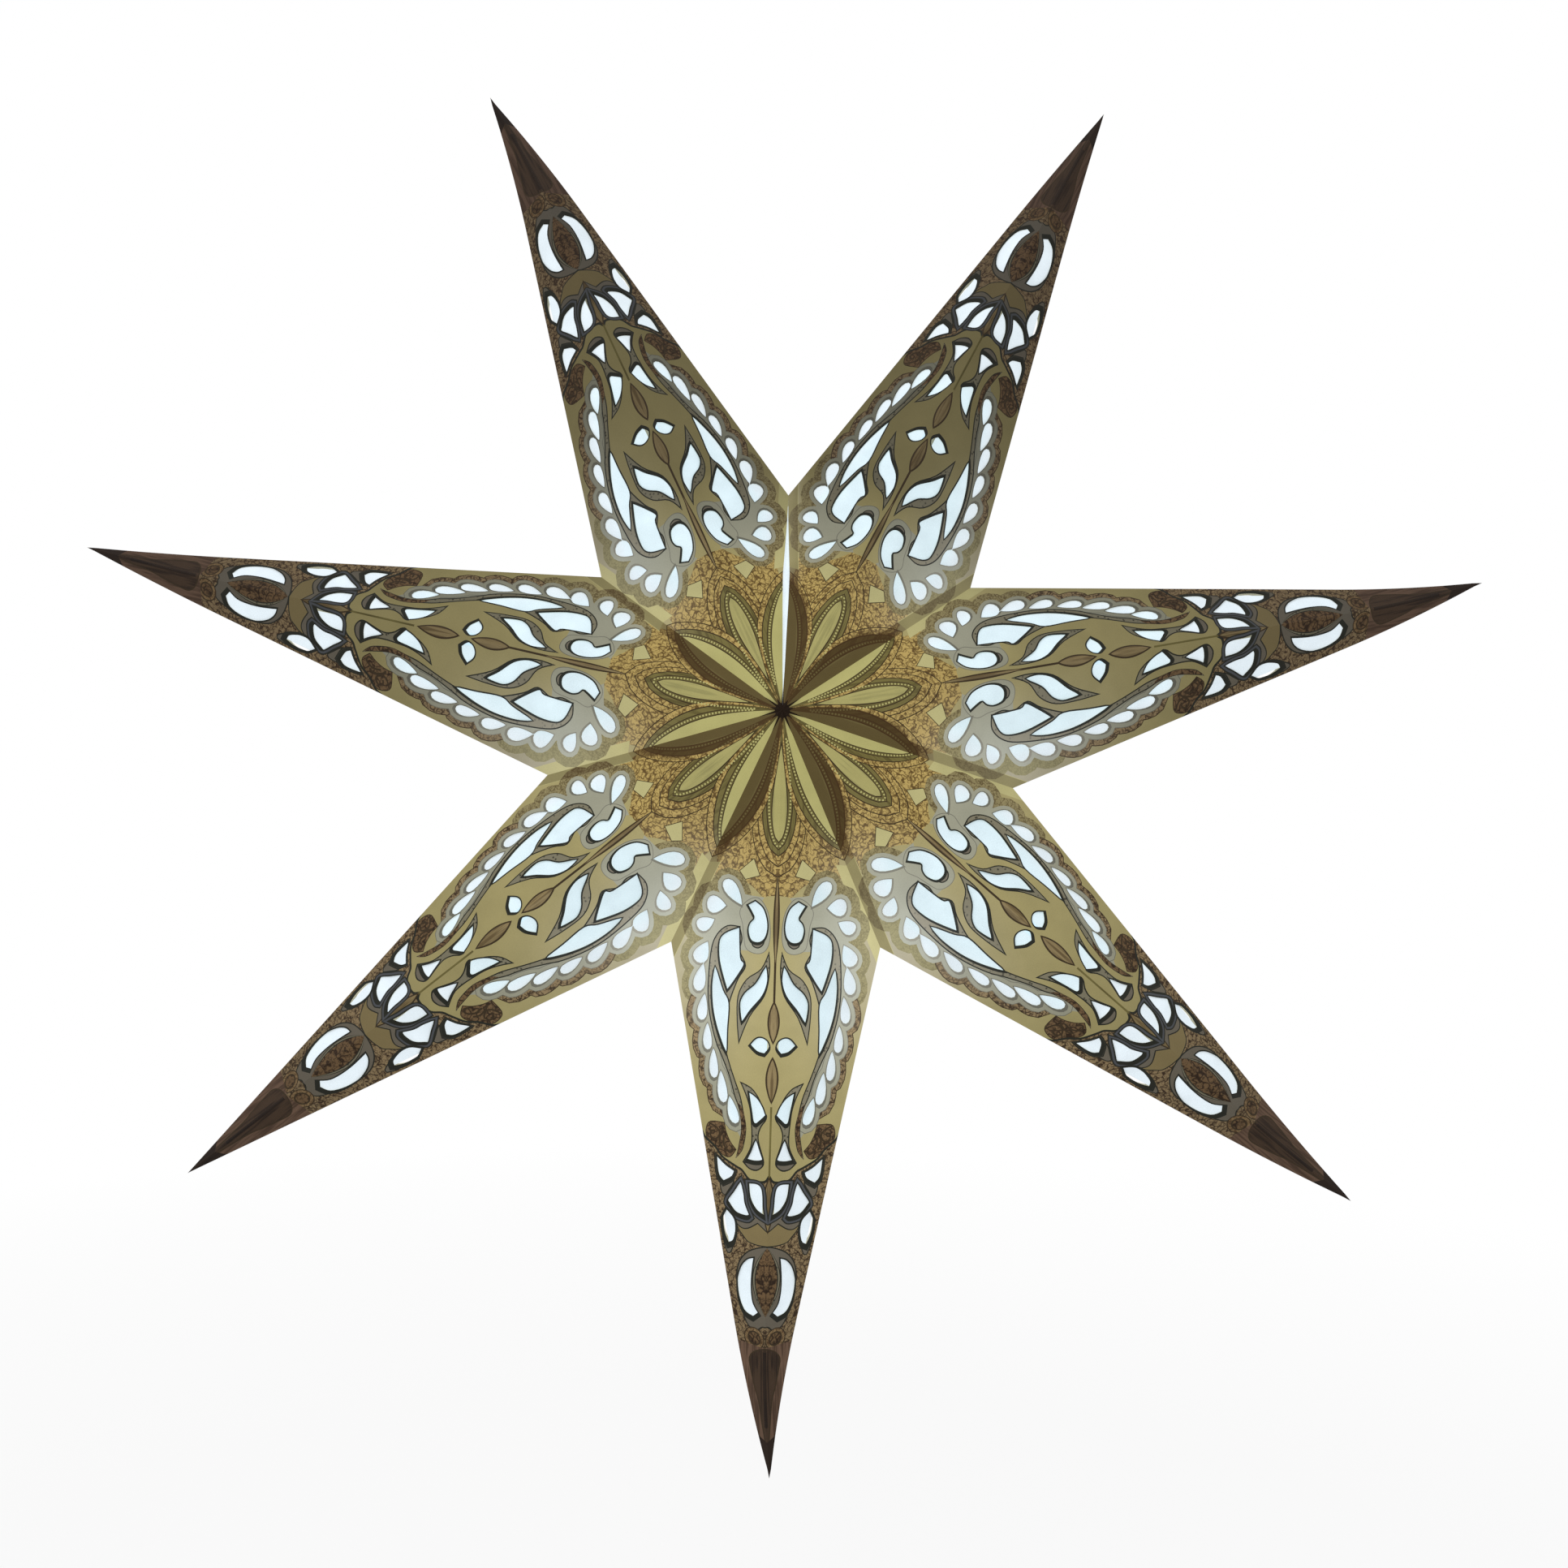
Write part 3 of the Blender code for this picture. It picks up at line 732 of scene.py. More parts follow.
@dataclass(frozen=True)
class FacetDrawing:
    """The print and the cut-outs of one facet, along the point and across it from its ridge."""

    valley: Pair = (0.29642, 0.14275)
    drops: tuple[tuple[Pair, Pair, float], ...] = (
        ((0.242, 0.046), (0.211, 0.068), 0.0168),
        ((0.244, 0.067), (0.243, 0.092), 0.0226),
        ((0.263, 0.083), (0.275, 0.105), 0.0179),
        ((0.294, 0.091), (0.322, 0.105), 0.0191),
        ((0.324, 0.096), (0.361, 0.104), 0.0150),
        ((0.364, 0.093), (0.400, 0.098), 0.0122),
        ((0.403, 0.088), (0.439, 0.088), 0.0110),
        ((0.436, 0.079), (0.476, 0.078), 0.0110),
        ((0.464, 0.068), (0.507, 0.064), 0.0122),
        ((0.496, 0.055), (0.532, 0.047), 0.0133),
    )
    figures: tuple[tuple[float, Outline], ...] = (
        (0.0, traced(2376, 277, 2422, 357, 2522, 297, 2589, 272, 2656, 325, 2757, 344, 2871, 308,
            2889, 219, 2828, 153, 2708, 126, 2576, 138, 2450, 188)),
        (0.0, traced(2730, 490, 2810, 660, 2930, 730, 3190, 720, 3530, 620, 3360, 510, 3190, 420,
            3100, 470)),
        (0.0, traced(3270, 790, 3510, 820, 3820, 800, 4100, 730, 4370, 620, 4060, 620, 3710, 610,
            3550, 690)),
        (0.0, traced(3210, 120, 3420, 230, 3560, 370, 3710, 430, 3930, 410, 3780, 320, 3580, 170,
            3390, 110)),
        (0.0, traced(4233, 61, 4154, 81, 4120, 148, 4143, 215, 4231, 286, 4304, 199, 4319, 115)),
        (0.0, traced(4860, 284, 4910, 199, 4998, 132, 5090, 93, 5130, 85, 5255, 191, 5246, 213, 5114, 237,
            4986, 262)),
        (0.0, traced(5477, 187, 5594, 147, 5693, 109, 5733, 119, 5758, 202, 5758, 292, 5629, 235)),
        (0.0036, traced(5809, 702, 5892, 594, 5943, 477, 6046, 511, 6127, 611, 6081, 658, 5982, 684)),
        (0.006, traced(6059, 251, 6046, 164, 6076, 114, 6179, 94, 6311, 87, 6448, 63, 6397, 154,
            6265, 228)),
        (0.006, traced(6082, 378, 6209, 444, 6362, 531, 6427, 503, 6513, 418, 6523, 293, 6492, 254,
            6341, 324, 6210, 345)),
        (0.0034, traced(6502, 550, 6610, 591, 6740, 586, 6859, 562, 6954, 517, 6908, 471, 6741, 443,
            6590, 462)),
        (0.0, traced(7048, 188, 7093, 255, 7208, 327, 7403, 369, 7643, 347, 7821, 272, 7863, 167,
            7777, 91, 7641, 185, 7411, 216, 7199, 205)))
    blade_band: Outline = traced(2690, 470, 2690, 640, 2820, 785, 3050, 862, 3550, 892, 3900, 858,
        4230, 770, 4421, 681, 4695, 562, 4921, 493, 5094, 423, 5340, 387, 5599, 419, 5758, 451, 5697, 402,
        5585, 348, 5327, 317, 5085, 363, 4908, 405, 4686, 492, 4500, 561, 4330, 612, 4100, 640, 3740, 590,
        3398, 478, 3200, 375, 3010, 455, 2850, 430)
    ribbon: Outline = traced(5000, 447, 5094, 416, 5340, 380, 5599, 410, 5740, 437, 5697, 409, 5585, 357,
        5327, 324, 5085, 370)
    comma_band: Outline = traced(2500, 480, 2370, 400, 2310, 266, 2380, 165, 2550, 90, 2810, 70,
        2980, 120, 3035, 240, 2980, 380, 2820, 420, 2660, 440)
    leaf_band: Outline = traced(2980, 80, 3250, 62, 3560, 120, 3860, 310, 4240, 450, 3920, 482, 3600, 478,
        3370, 368, 3215, 180)
    centre_filigree: Outline = traced(-100, -100, 2330, -100, 2375, 80, 2330, 160, 2250, 240, 2160, 340,
        2100, 460, 2040, 580, 2100, 740, 2040, 840, 1860, 800, 1600, 790, 1200, 750, -100, 100)
    paisley: Outline = traced(2320, 50, 2290, 340, 2270, 570, 2440, 800, 2690, 940, 3080, 980, 3430, 1000,
        3820, 955, 4210, 880, 4560, 785, 4860, 660, 5140, 510, 5450, 400, 5600, -100, 2320, -100)
    lower_zone: Outline = traced(5400, 1200, 5569, 872, 5663, 736, 5779, 629, 5860, 449, 5894, 361,
        5988, 271, 6000, 165, 5973, 53, 5890, -96, 10500, -100, 10500, 300)
    curl: Outline = traced(5317, 620, 5338, 801, 5426, 858, 5560, 850, 5646, 735, 5744, 627, 5749, 528,
        5640, 455, 5554, 533, 5429, 595)
    curl_lines: tuple[Outline, ...] = (
        traced(5360, 827, 5400, 719, 5480, 677, 5560, 734, 5530, 802, 5460, 794, 5450, 736),
        traced(5480, 619, 5600, 617, 5690, 548, 5660, 491, 5600, 521),
        traced(5400, 622, 5460, 659, 5580, 675, 5660, 635))
    heart_line: Outline = traced(5480, 929, 5569, 872, 5663, 736, 5779, 629, 5860, 449, 5894, 361,
        5988, 271, 6000, 165, 5973, 53, 5890, 0)
    frame: Outline = traced(4718, 423, 4771, 268, 4880, 166, 5017, 98, 5140, 51, 5258, 115, 5363, 149,
        5461, 145, 5586, 107, 5694, 73, 5778, 82, 5860, 168, 5854, 272, 5781, 359, 5677, 305, 5549, 256,
        5398, 248, 5234, 260, 5087, 276, 4960, 310, 4835, 362)
    cups: tuple[Outline, ...] = (
        traced(5720, 87, 5790, 91, 5855, 168, 5850, 272, 5780, 347, 5740, 317),
        traced(5900, 454, 6080, 461, 6200, 521, 6300, 575, 6270, 632, 6127, 655, 6000, 534),
        traced(6300, 528, 6480, 510, 6600, 452, 6675, 353, 6658, 255, 6559, 133, 6606, 64, 6670, -37,
            6350, -38),
        traced(6600, 447, 6740, 406, 6895, 431, 7052, 480, 7072, 534, 6956, 583, 6800, 589),
        traced(2800, 140, 2900, 150, 2962, 220, 2935, 300, 2830, 330))
    bow: Outline = traced(6600, 410, 6693, 398, 6775, 326, 6839, 255, 6850, 115, 6825, -37, 6500, -37,
        6500, 281)
    medallion: Outline = traced(6830, -37, 6838, 55, 6959, 255, 7140, 374, 7345, 402, 7551, 384,
        7774, 324, 7964, 231, 8000, 112, 7930, 32, 7930, -34)
    lobe: tuple[float, float, float, float] = (0.8110, 0.0140, 0.0150, 0.0136)
    rhombus: Outline = traced(1812, 305, 1977, 497, 2093, 415, 2039, 218)
    tip_leaf: Outline = traced(8180, -49, 8270, 122, 8400, 210, 8578, 189, 8810, 138, 8967, 96, 9300, 57,
        9750, 7, 9750, -44)
    lenses: tuple[tuple[float, float, float], ...] = (
        (0.204, 0.318, 0.0042), (0.364, 0.4175, 0.0080), (0.4355, 0.4945, 0.0085), (0.592, 0.666, 0.0078))
    middle_ground: Outline = traced(2290, -100, 2290, 80, 2380, 200, 3000, 340, 3000, 600, 3550, 800,
        4200, 680, 4700, 520, 5100, 410, 5450, 380, 5750, 440, 5700, 600, 5450, 700, 5600, 1000,
        6100, 1000, 6100, -100)
    ridge_nest: PetalNest = PetalNest(1.7, 0.56, (0.1675, 0.0134), (
        (0.0, 0.206, 0.0345, Ink.BROWN_LINE), (0.0, 0.2045, 0.0335, Ink.FILIGREE),
        (0.0, 0.193, 0.0275, Ink.BROWN_LINE), (0.0, 0.1915, 0.0265, Ink.FILIGREE),
        (0.0, 0.180, 0.0222, Ink.BROWN_LINE), (0.0, 0.1785, 0.0210, Ink.PETAL_BAND),
        (0.0, 0.172, 0.0168, Ink.BROWN_LINE), (0.0, 0.1705, 0.0156, Ink.BEAD_BAND),
        (0.036, 0.163, 0.0104, Ink.BROWN_LINE), (0.043, 0.161, 0.0091, Ink.RIDGE_PETAL)))
    valley_nest: PetalNest = PetalNest(1.25, 0.78, (0.176, 0.0182), (
        (0.0, 0.201, 0.0350, Ink.BROWN_LINE), (0.0, 0.1995, 0.0340, Ink.FILIGREE),
        (0.0, 0.187, 0.0285, Ink.BROWN_LINE), (0.0, 0.1855, 0.0272, Ink.PETAL_BAND),
        (0.0, 0.180, 0.0215, Ink.BROWN_LINE), (0.0, 0.179, 0.0204, Ink.BEAD_BAND),
        (0.0, 0.173, 0.0160, Ink.BROWN_LINE), (0.0, 0.1715, 0.0148, Ink.PETAL)))
    strip: Outline = ((0.187, 0.0), (0.38, 0.0), (0.38, 0.16), (0.187, 0.16))
    knot: tuple[Pair, ...] = ((0.0170, 0.0), (0.0095, 1 / 3), (0.0095, 2 / 3), (0.030, 1.0), (0.012, 1.4),
                              (0.012, 7.0), (0.012, -1.0))
    strip_width: float = 0.0135
    strip_overlap: float = 0.01
    ridge_lines: tuple[tuple[float, float, float, Ink], ...] = (
        (0.300, 0.372, 0.0014, Ink.BROWN_LINE), (0.498, 0.592, 0.0013, Ink.PETAL_BAND))
    seed_span: Pair = (0.6845, 0.7775)
    seed_rims: tuple[tuple[float, Ink], ...] = (
        (0.0187, Ink.OUTLINE), (0.0175, Ink.BAND), (0.0155, Ink.OUTLINE), (0.0141, Ink.DARK_CURL))
    lobe_rims: tuple[tuple[float, Ink], ...] = (
        (1.0, Ink.BROWN_LINE), (0.90, Ink.LACE), (0.66, Ink.BROWN_LINE), (0.52, Ink.DARK_CURL))
    tip_side: Outline = ((0.820, -0.01), (0.822, 0.05), (1.05, 0.05), (1.05, -0.01))
    tip_spine: Outline = ((0.826, 0.0), (0.930, 0.0))
    tip_end: Outline = ((0.955, -0.01), (0.935, 0.03), (1.05, 0.03), (1.05, -0.01))
    scallop_reaches: tuple[float, ...] = (
        0.0140, 0.0185, 0.0190, 0.0175, 0.0160, 0.0150, 0.0148, 0.0148, 0.0146, 0.0062)
    browned_from: int = 5
    border_reach: float = 0.0070
    cut_growth: float = 0.0011
    hairline: float = 0.0009
    thin_line: float = 0.0012
    leaf_line: float = 0.0014
    cup_line: float = 0.0015
    line: float = 0.0016
    inner_line: float = 0.0019
    spine_line: float = 0.0024
    lens_lead: float = 0.003
    lens_rim: Triple = (0.001, 0.004, 0.0022)
    dark_bar_reach: float = 0.005
    grid_step: float = 0.013

    @property
    def corners(self) -> np.ndarray:
        """Give the facet's apex, tip and valley corner."""
        return np.array(((0.0, 0.0), (1.0, 0.0), self.valley))

    @property
    def slant(self) -> float:
        """Give how fast the valley leaves the ridge."""
        return self.valley[1] / self.valley[0]

    @property
    def heading(self) -> float:
        """Give the angle between the ridge and the valley."""
        return math.atan(self.slant)

    def shapes(self) -> list[Shape]:
        """List every shape of the print.

        Returns:
            The shapes from the bottom up, and last the cut-outs, with no ink.
        """
        drops = [grown(teardrop(*drop), self.cut_growth) for drop in self.drops]
        figures = [grown(closed_curve(figure, 4), self.cut_growth) for _, figure in self.figures]
        return [*self.grounds(drops), *self.rosette(), *self.bands(), *self.knuckle(figures),
                *self.seed_and_lobes(), *self.tip(),
                *((grown(figure, self.inner_line), Ink.OUTLINE) for figure in figures),
                *((grown(drop, self.thin_line), Ink.SOFT_OUTLINE) for drop in drops),
                *((outline, None) for outline in [*figures, *drops])]

    def grounds(self, drops: list[np.ndarray]) -> list[Shape]:
        """Lay the patches of ground, and the scalloped border around the drops.

        Args:
            drops: The border's cut-outs.

        Returns:
            The patches from the bottom up.
        """
        scallops = list(zip(drops, self.scallop_reaches))
        golden, browned = scallops[:self.browned_from], scallops[self.browned_from:]
        return [(closed_curve(self.centre_filigree, 3), Ink.FILIGREE),
                (self.beside_valley(np.array(self.strip)), Ink.STRIP),
                *((grown(drop, reach), Ink.EDGE_FILIGREE) for drop, reach in golden),
                *((grown(drop, reach), Ink.BROWN_LINE) for drop, reach in browned),
                *((grown(drop, reach - self.thin_line), Ink.BROWN_FILIGREE) for drop, reach in browned),
                (closed_curve(self.paisley, 3), Ink.PALE_GROUND_AND_GLOW),
                (closed_curve(self.middle_ground, 3), Ink.GROUND),
                (closed_curve(self.lower_zone, 2), Ink.BROWN_FILIGREE),
                *((grown(drop, self.border_reach), Ink.SOFT_OUTLINE) for drop, _ in browned),
                # The pale ring inside each drop's border is printed ground, lightened as painted glow from
                # the bright drop.
                *((grown(drop, self.border_reach - self.hairline), Ink.PALE_GROUND_AND_GLOW) for drop in drops)]

    def beside_valley(self, patch: np.ndarray) -> np.ndarray:
        """Lower a patch's sides onto a narrow strip along the valley."""
        lifts = np.where(patch[:, 1] > 0, self.strip_overlap, -self.strip_width / math.cos(self.heading))
        return np.column_stack((patch[:, 0], patch[:, 0] * self.slant + lifts))

    def rosette(self) -> list[Shape]:
        """Draw the middle's petals with their beads, and the dark knot that they leave from.

        Returns:
            The shapes from the bottom up.
        """
        knot = [(reach * math.cos(turn), reach * math.sin(turn))
                for reach, turn in ((reach, share * self.heading) for reach, share in self.knot)]
        return [*self.ridge_nest.outlines(0.0), *self.valley_nest.outlines(self.heading),
                *self.ridge_nest.beads(0.0), *self.valley_nest.beads(self.heading),
                (np.array(knot), Ink.KNOT)]

    def bands(self) -> list[Shape]:
        """Draw the bands, curls and lines around the large cut-outs, and the lenses on the ridge.

        Returns:
            The shapes from the bottom up.
        """
        curl = closed_curve(self.curl, 3)
        return [*framed(closed_curve(self.rhombus, 2), Ink.BROWN_LINE, self.hairline, Ink.STRIP),
                *framed(closed_curve(self.comma_band, 4), Ink.SOFT_OUTLINE, self.hairline, Ink.PALE_GROUND_AND_GLOW),
                *framed(closed_curve(self.blade_band, 4), Ink.OUTLINE, self.line, Ink.BAND),
                (closed_curve(self.ribbon, 3), Ink.DARK_CURL),
                *framed(closed_curve(self.leaf_band, 4), Ink.OUTLINE, self.leaf_line, Ink.BAND),
                *framed(closed_curve(self.frame, 3), Ink.OUTLINE, self.line, Ink.BAND),
                (grown(curl, self.thin_line), Ink.BROWN_LINE), (curl, Ink.DARK_CURL),
                *((stroke(line, self.thin_line), Ink.BROWN_LINE) for line in self.curl_lines),
                (stroke(self.heart_line, self.cup_line), Ink.OUTLINE),
                *((stroke(((start, 0.0), (end, 0.0)), half_width), ink)
                  for start, end, half_width, ink in self.ridge_lines),
                *(shape for lens in self.lenses[:-1] for shape in self.lens(*lens))]

    def lens(self, start: float, end: float, half_width: float) -> list[Shape]:
        """Draw a streaked lens on the ridge in its dark rim.

        Args:
            start: Where it starts along the ridge.
            end: Where it ends.
            half_width: Half its width.

        Returns:
            Its rim and its fill.
        """
        after, before, beside = self.lens_rim
        rim = petal(end, half_width, 0.0, start - self.lens_lead, steps=12, fullness=1.0)
        fill = petal(end - before, half_width - beside, 0.0, start + after, steps=12, fullness=1.0)
        return [(rim, Ink.BROWN_LINE), (fill, Ink.LENS)]

    def knuckle(self, figures: list[np.ndarray]) -> list[Shape]:
        """Draw the bow, the medallion and the cups above the tip, and the bars of their cut-outs.

        Args:
            figures: The drawing's larger cut-outs.

        Returns:
            The shapes from the bottom up.
        """
        shapes = [*framed(closed_curve(self.bow, 3), Ink.OUTLINE, self.leaf_line, Ink.BOW),
                  *framed(closed_curve(self.medallion, 4), Ink.OUTLINE, self.line, Ink.CUP)]
        for cup in self.cups:
            shapes += framed(closed_curve(cup, 4), Ink.OUTLINE, self.cup_line, Ink.CUP)
        shapes += self.lens(*self.lenses[-1])
        for (reach, _), figure in zip(self.figures, figures):
            if reach > 0:
                bar = Ink.DARK_BAND if reach > self.dark_bar_reach else Ink.CUP
                shapes += [(grown(figure, reach), Ink.OUTLINE), (grown(figure, reach - self.line), bar)]
        return shapes

    def seed_and_lobes(self) -> list[Shape]:
        """Draw the seed inside the medallion and the laced lobe below it.

        Returns:
            The shapes from the bottom up.
        """
        start, end = self.seed_span
        along, across, long_reach, wide_reach = self.lobe
        return [*((petal(end, half_width, 0.0, start, steps=14, fullness=1.0), ink)
                  for half_width, ink in self.seed_rims),
                *((round_patch((along, across), (long_reach * share, wide_reach * share), sides=18), ink)
                  for share, ink in self.lobe_rims)]

    def tip(self) -> list[Shape]:
        """Draw the point's dark end with its streaked leaf.

        Returns:
            The shapes from the bottom up.
        """
        return [(np.array(self.tip_side), Ink.TIP_SIDE),
                *framed(closed_curve(self.tip_leaf, 3), Ink.BROWN_LINE, self.line, Ink.TIP_LEAF),
                (stroke(self.tip_spine, self.spine_line), Ink.TIP), (np.array(self.tip_end), Ink.TIP)]


@dataclass
class CutSheet:
    """The drawing cut into triangles, each with its ink, ready to lay on any facet.

    The notch is where the wire leaves: its share of the valley and its radius.
    """

    drawing: FacetDrawing
    flap_width: float
    flap_fade: float
    notch: Pair = (0.0, 0.0)
    notch_sides: int = 20
    flap_reach: float = 0.35
    grid_height: float = 0.15
    grid_share: float = 0.985
    grid_shift: Pair = (0.005, 0.0015)
    apex_rows: tuple[float, ...] = (0.006, 0.010, 0.015, 0.021, 0.029)
    merge_distance: float = 1e-5
    places: np.ndarray = field(init=False)
    triangles: np.ndarray = field(init=False)
    inks: np.ndarray = field(init=False)
    rim: np.ndarray = field(init=False)
    rim_inks: np.ndarray = field(init=False)

    def __post_init__(self) -> None:
        """Cut the sheet along every shape of its drawing, and drop what is cut out."""
        shapes = self.drawing.shapes()
        share, radius = self.notch
        if radius > 0:
            middle = self.drawing.corners[2] * share
            shapes.append((round_patch(middle, (radius, radius), self.notch_sides), None))
        places, triangles = self.cut([outline for outline, _ in shapes])
        middles = places[triangles].mean(axis=1)
        inks = np.full(len(triangles), Ink.GROUND.slot)
        for outline, ink in shapes:
            inks[inside(outline, middles)] = -1 if ink is None else ink.slot
        inks[~inside(self.drawing.corners, middles)] = -1
        used, numbers = np.unique(triangles[inks >= 0], return_inverse=True)
        self.places, self.triangles, self.inks = places[used], numbers.reshape(-1, 3), inks[inks >= 0]
        self.rim, self.rim_inks = self.open_edges()

    def cut(self, outlines: list[np.ndarray]) -> tuple[np.ndarray, np.ndarray]:
        """Cut the whole facet into triangles along outlines and along the glued flap.

        Args:
            outlines: The closed outlines to cut along.

        Returns:
            The places, and the triangles by place number.
        """
        corners, slant = self.drawing.corners, self.drawing.slant
        points: list[Pair] = [tuple(corner) for corner in corners]
        edges: list[tuple[int, int]] = []
        for outline in outlines:
            first, count = len(points), len(outline)
            points += [tuple(place) for place in outline]
            edges += [(first + index, first + (index + 1) % count) for index in range(count)]
        for width in (self.flap_width, self.flap_width + self.flap_fade):
            push = width / math.cos(self.drawing.heading)
            edges.append((len(points), len(points) + 1))
            points += [(0.0, -push), (self.flap_reach, self.flap_reach * slant - push)]
        points += self.grid() + self.rails()
        laid = delaunay_2d_cdt([Vector(point) for point in points], edges, [[0, 1, 2]], 1,
                               self.merge_distance, False)
        return np.array([tuple(place) for place in laid[0]]), np.array([tuple(face) for face in laid[2]])

    def grid(self) -> list[Pair]:
        """Spread places evenly, so that the sheet can bend and its light can fade.

        Returns:
            The places that are well inside the facet.
        """
        step = self.drawing.grid_step
        spread = [(x, y) for x in np.arange(step, 1.0, step)
                  for y in np.arange(step / 2, self.grid_height, step)]
        kept = inside(self.drawing.corners * self.grid_share + self.grid_shift, np.array(spread))
        return [place for place, keep in zip(spread, kept) if keep]

    def rails(self) -> list[Pair]:
        """Put places along the sheet's three edges, its flap and the rows near its apex.

        Returns:
            The places.
        """
        step, slant, corners = self.drawing.grid_step, self.drawing.slant, self.drawing.corners
        drop = self.flap_width / math.cos(self.drawing.heading)
        spots = []
        for start, end in ((0, 1), (1, 2), (2, 0)):
            length = float(np.linalg.norm(corners[end] - corners[start]))
            for share in np.linspace(0, 1, int(length / step) + 1)[1:-1]:
                spots.append(tuple(corners[start] * (1 - share) + corners[end] * share))
        spots += [(along, along * slant - drop)
                  for along in np.arange(step * 3, self.drawing.valley[0], step)]
        spots += [(along, along * slant * share) for along in self.apex_rows for share in (0.0, 0.5, 1.0)]
        return spots

    def open_edges(self) -> tuple[np.ndarray, np.ndarray]:
        """Find the edges that only one triangle has: the border and the cut-outs.

        Returns:
            The edges, and the ink beside each.
        """
        owned: dict[tuple[int, int], int] = {}
        for triangle, ink in zip(self.triangles.tolist(), self.inks.tolist()):
            for start, end in zip(triangle, triangle[1:] + triangle[:1]):
                if owned.pop((end, start), None) is None:
                    owned[start, end] = ink
        return np.array(list(owned)), np.array(list(owned.values()))


# The star

def row_of(vector: Vector) -> np.ndarray:
    """Turn a vector into a row of numbers."""
    return np.array(tuple(vector))


@dataclass(frozen=True)
class StarShape:
    """The lantern's driving sizes, the same as those that its solids are built from."""

    point_count: int = 7
    tip_radius: float = 0.300
    valley_radius: float = 0.0987
    half_depth: float = 0.060
    paper: float = 0.0003
    glue_gap: float = 0.0003
    lining: float = 0.00015
    lining_margin: float = 0.0035
    crease_gap: float = -0.00001
    side_gap: float = -0.00004
    flap_share: float = 0.0125
    flap_fade: float = 0.0008
    notch_share: float = 0.82
    notch_radius: float = 0.0034

    @property
    def half_angle(self) -> float:
        """Give the angle between a point's ridge and its valleys."""
        return math.pi / self.point_count

    @property
    def valley_along(self) -> float:
        """Give how far the valley corner is along the point."""
        return self.valley_radius * math.cos(self.half_angle)

    @property
    def valley_across(self) -> float:
        """Give how far the valley corner is from the ridge."""
        return self.valley_radius * math.sin(self.half_angle)

    @property
    def slope_along(self) -> float:
        """Give how fast the facet falls along the point."""
        return self.half_depth / self.tip_radius

    @property
    def slope_across(self) -> float:
        """Give how fast the facet falls away from the ridge."""
        return self.half_depth * (1 - self.valley_along / self.tip_radius) / self.valley_across

    @property
    def stack(self) -> float:
        """Give the height of paper, glue and lining together."""
        return self.paper + self.glue_gap + self.lining

    def creases(self) -> tuple[float, float, float]:
        """Give the tangent of half the turn at the ridge, the valley and the side edge.

        Returns:
            How far each edge moves, for each unit that a surface lies above the facet's middle
            plane. It is negative where the surface grows with its height.
        """
        along, across, turn = self.slope_along, self.slope_across, self.half_angle
        ridge = across / math.hypot(along, 1)
        leaning = across * math.cos(turn) - along * math.sin(turn)
        falling = along * math.cos(turn) + across * math.sin(turn)
        valley = leaning / math.hypot(falling, 1)
        side = 1 / math.hypot(along, across)
        return -ridge, valley, -side


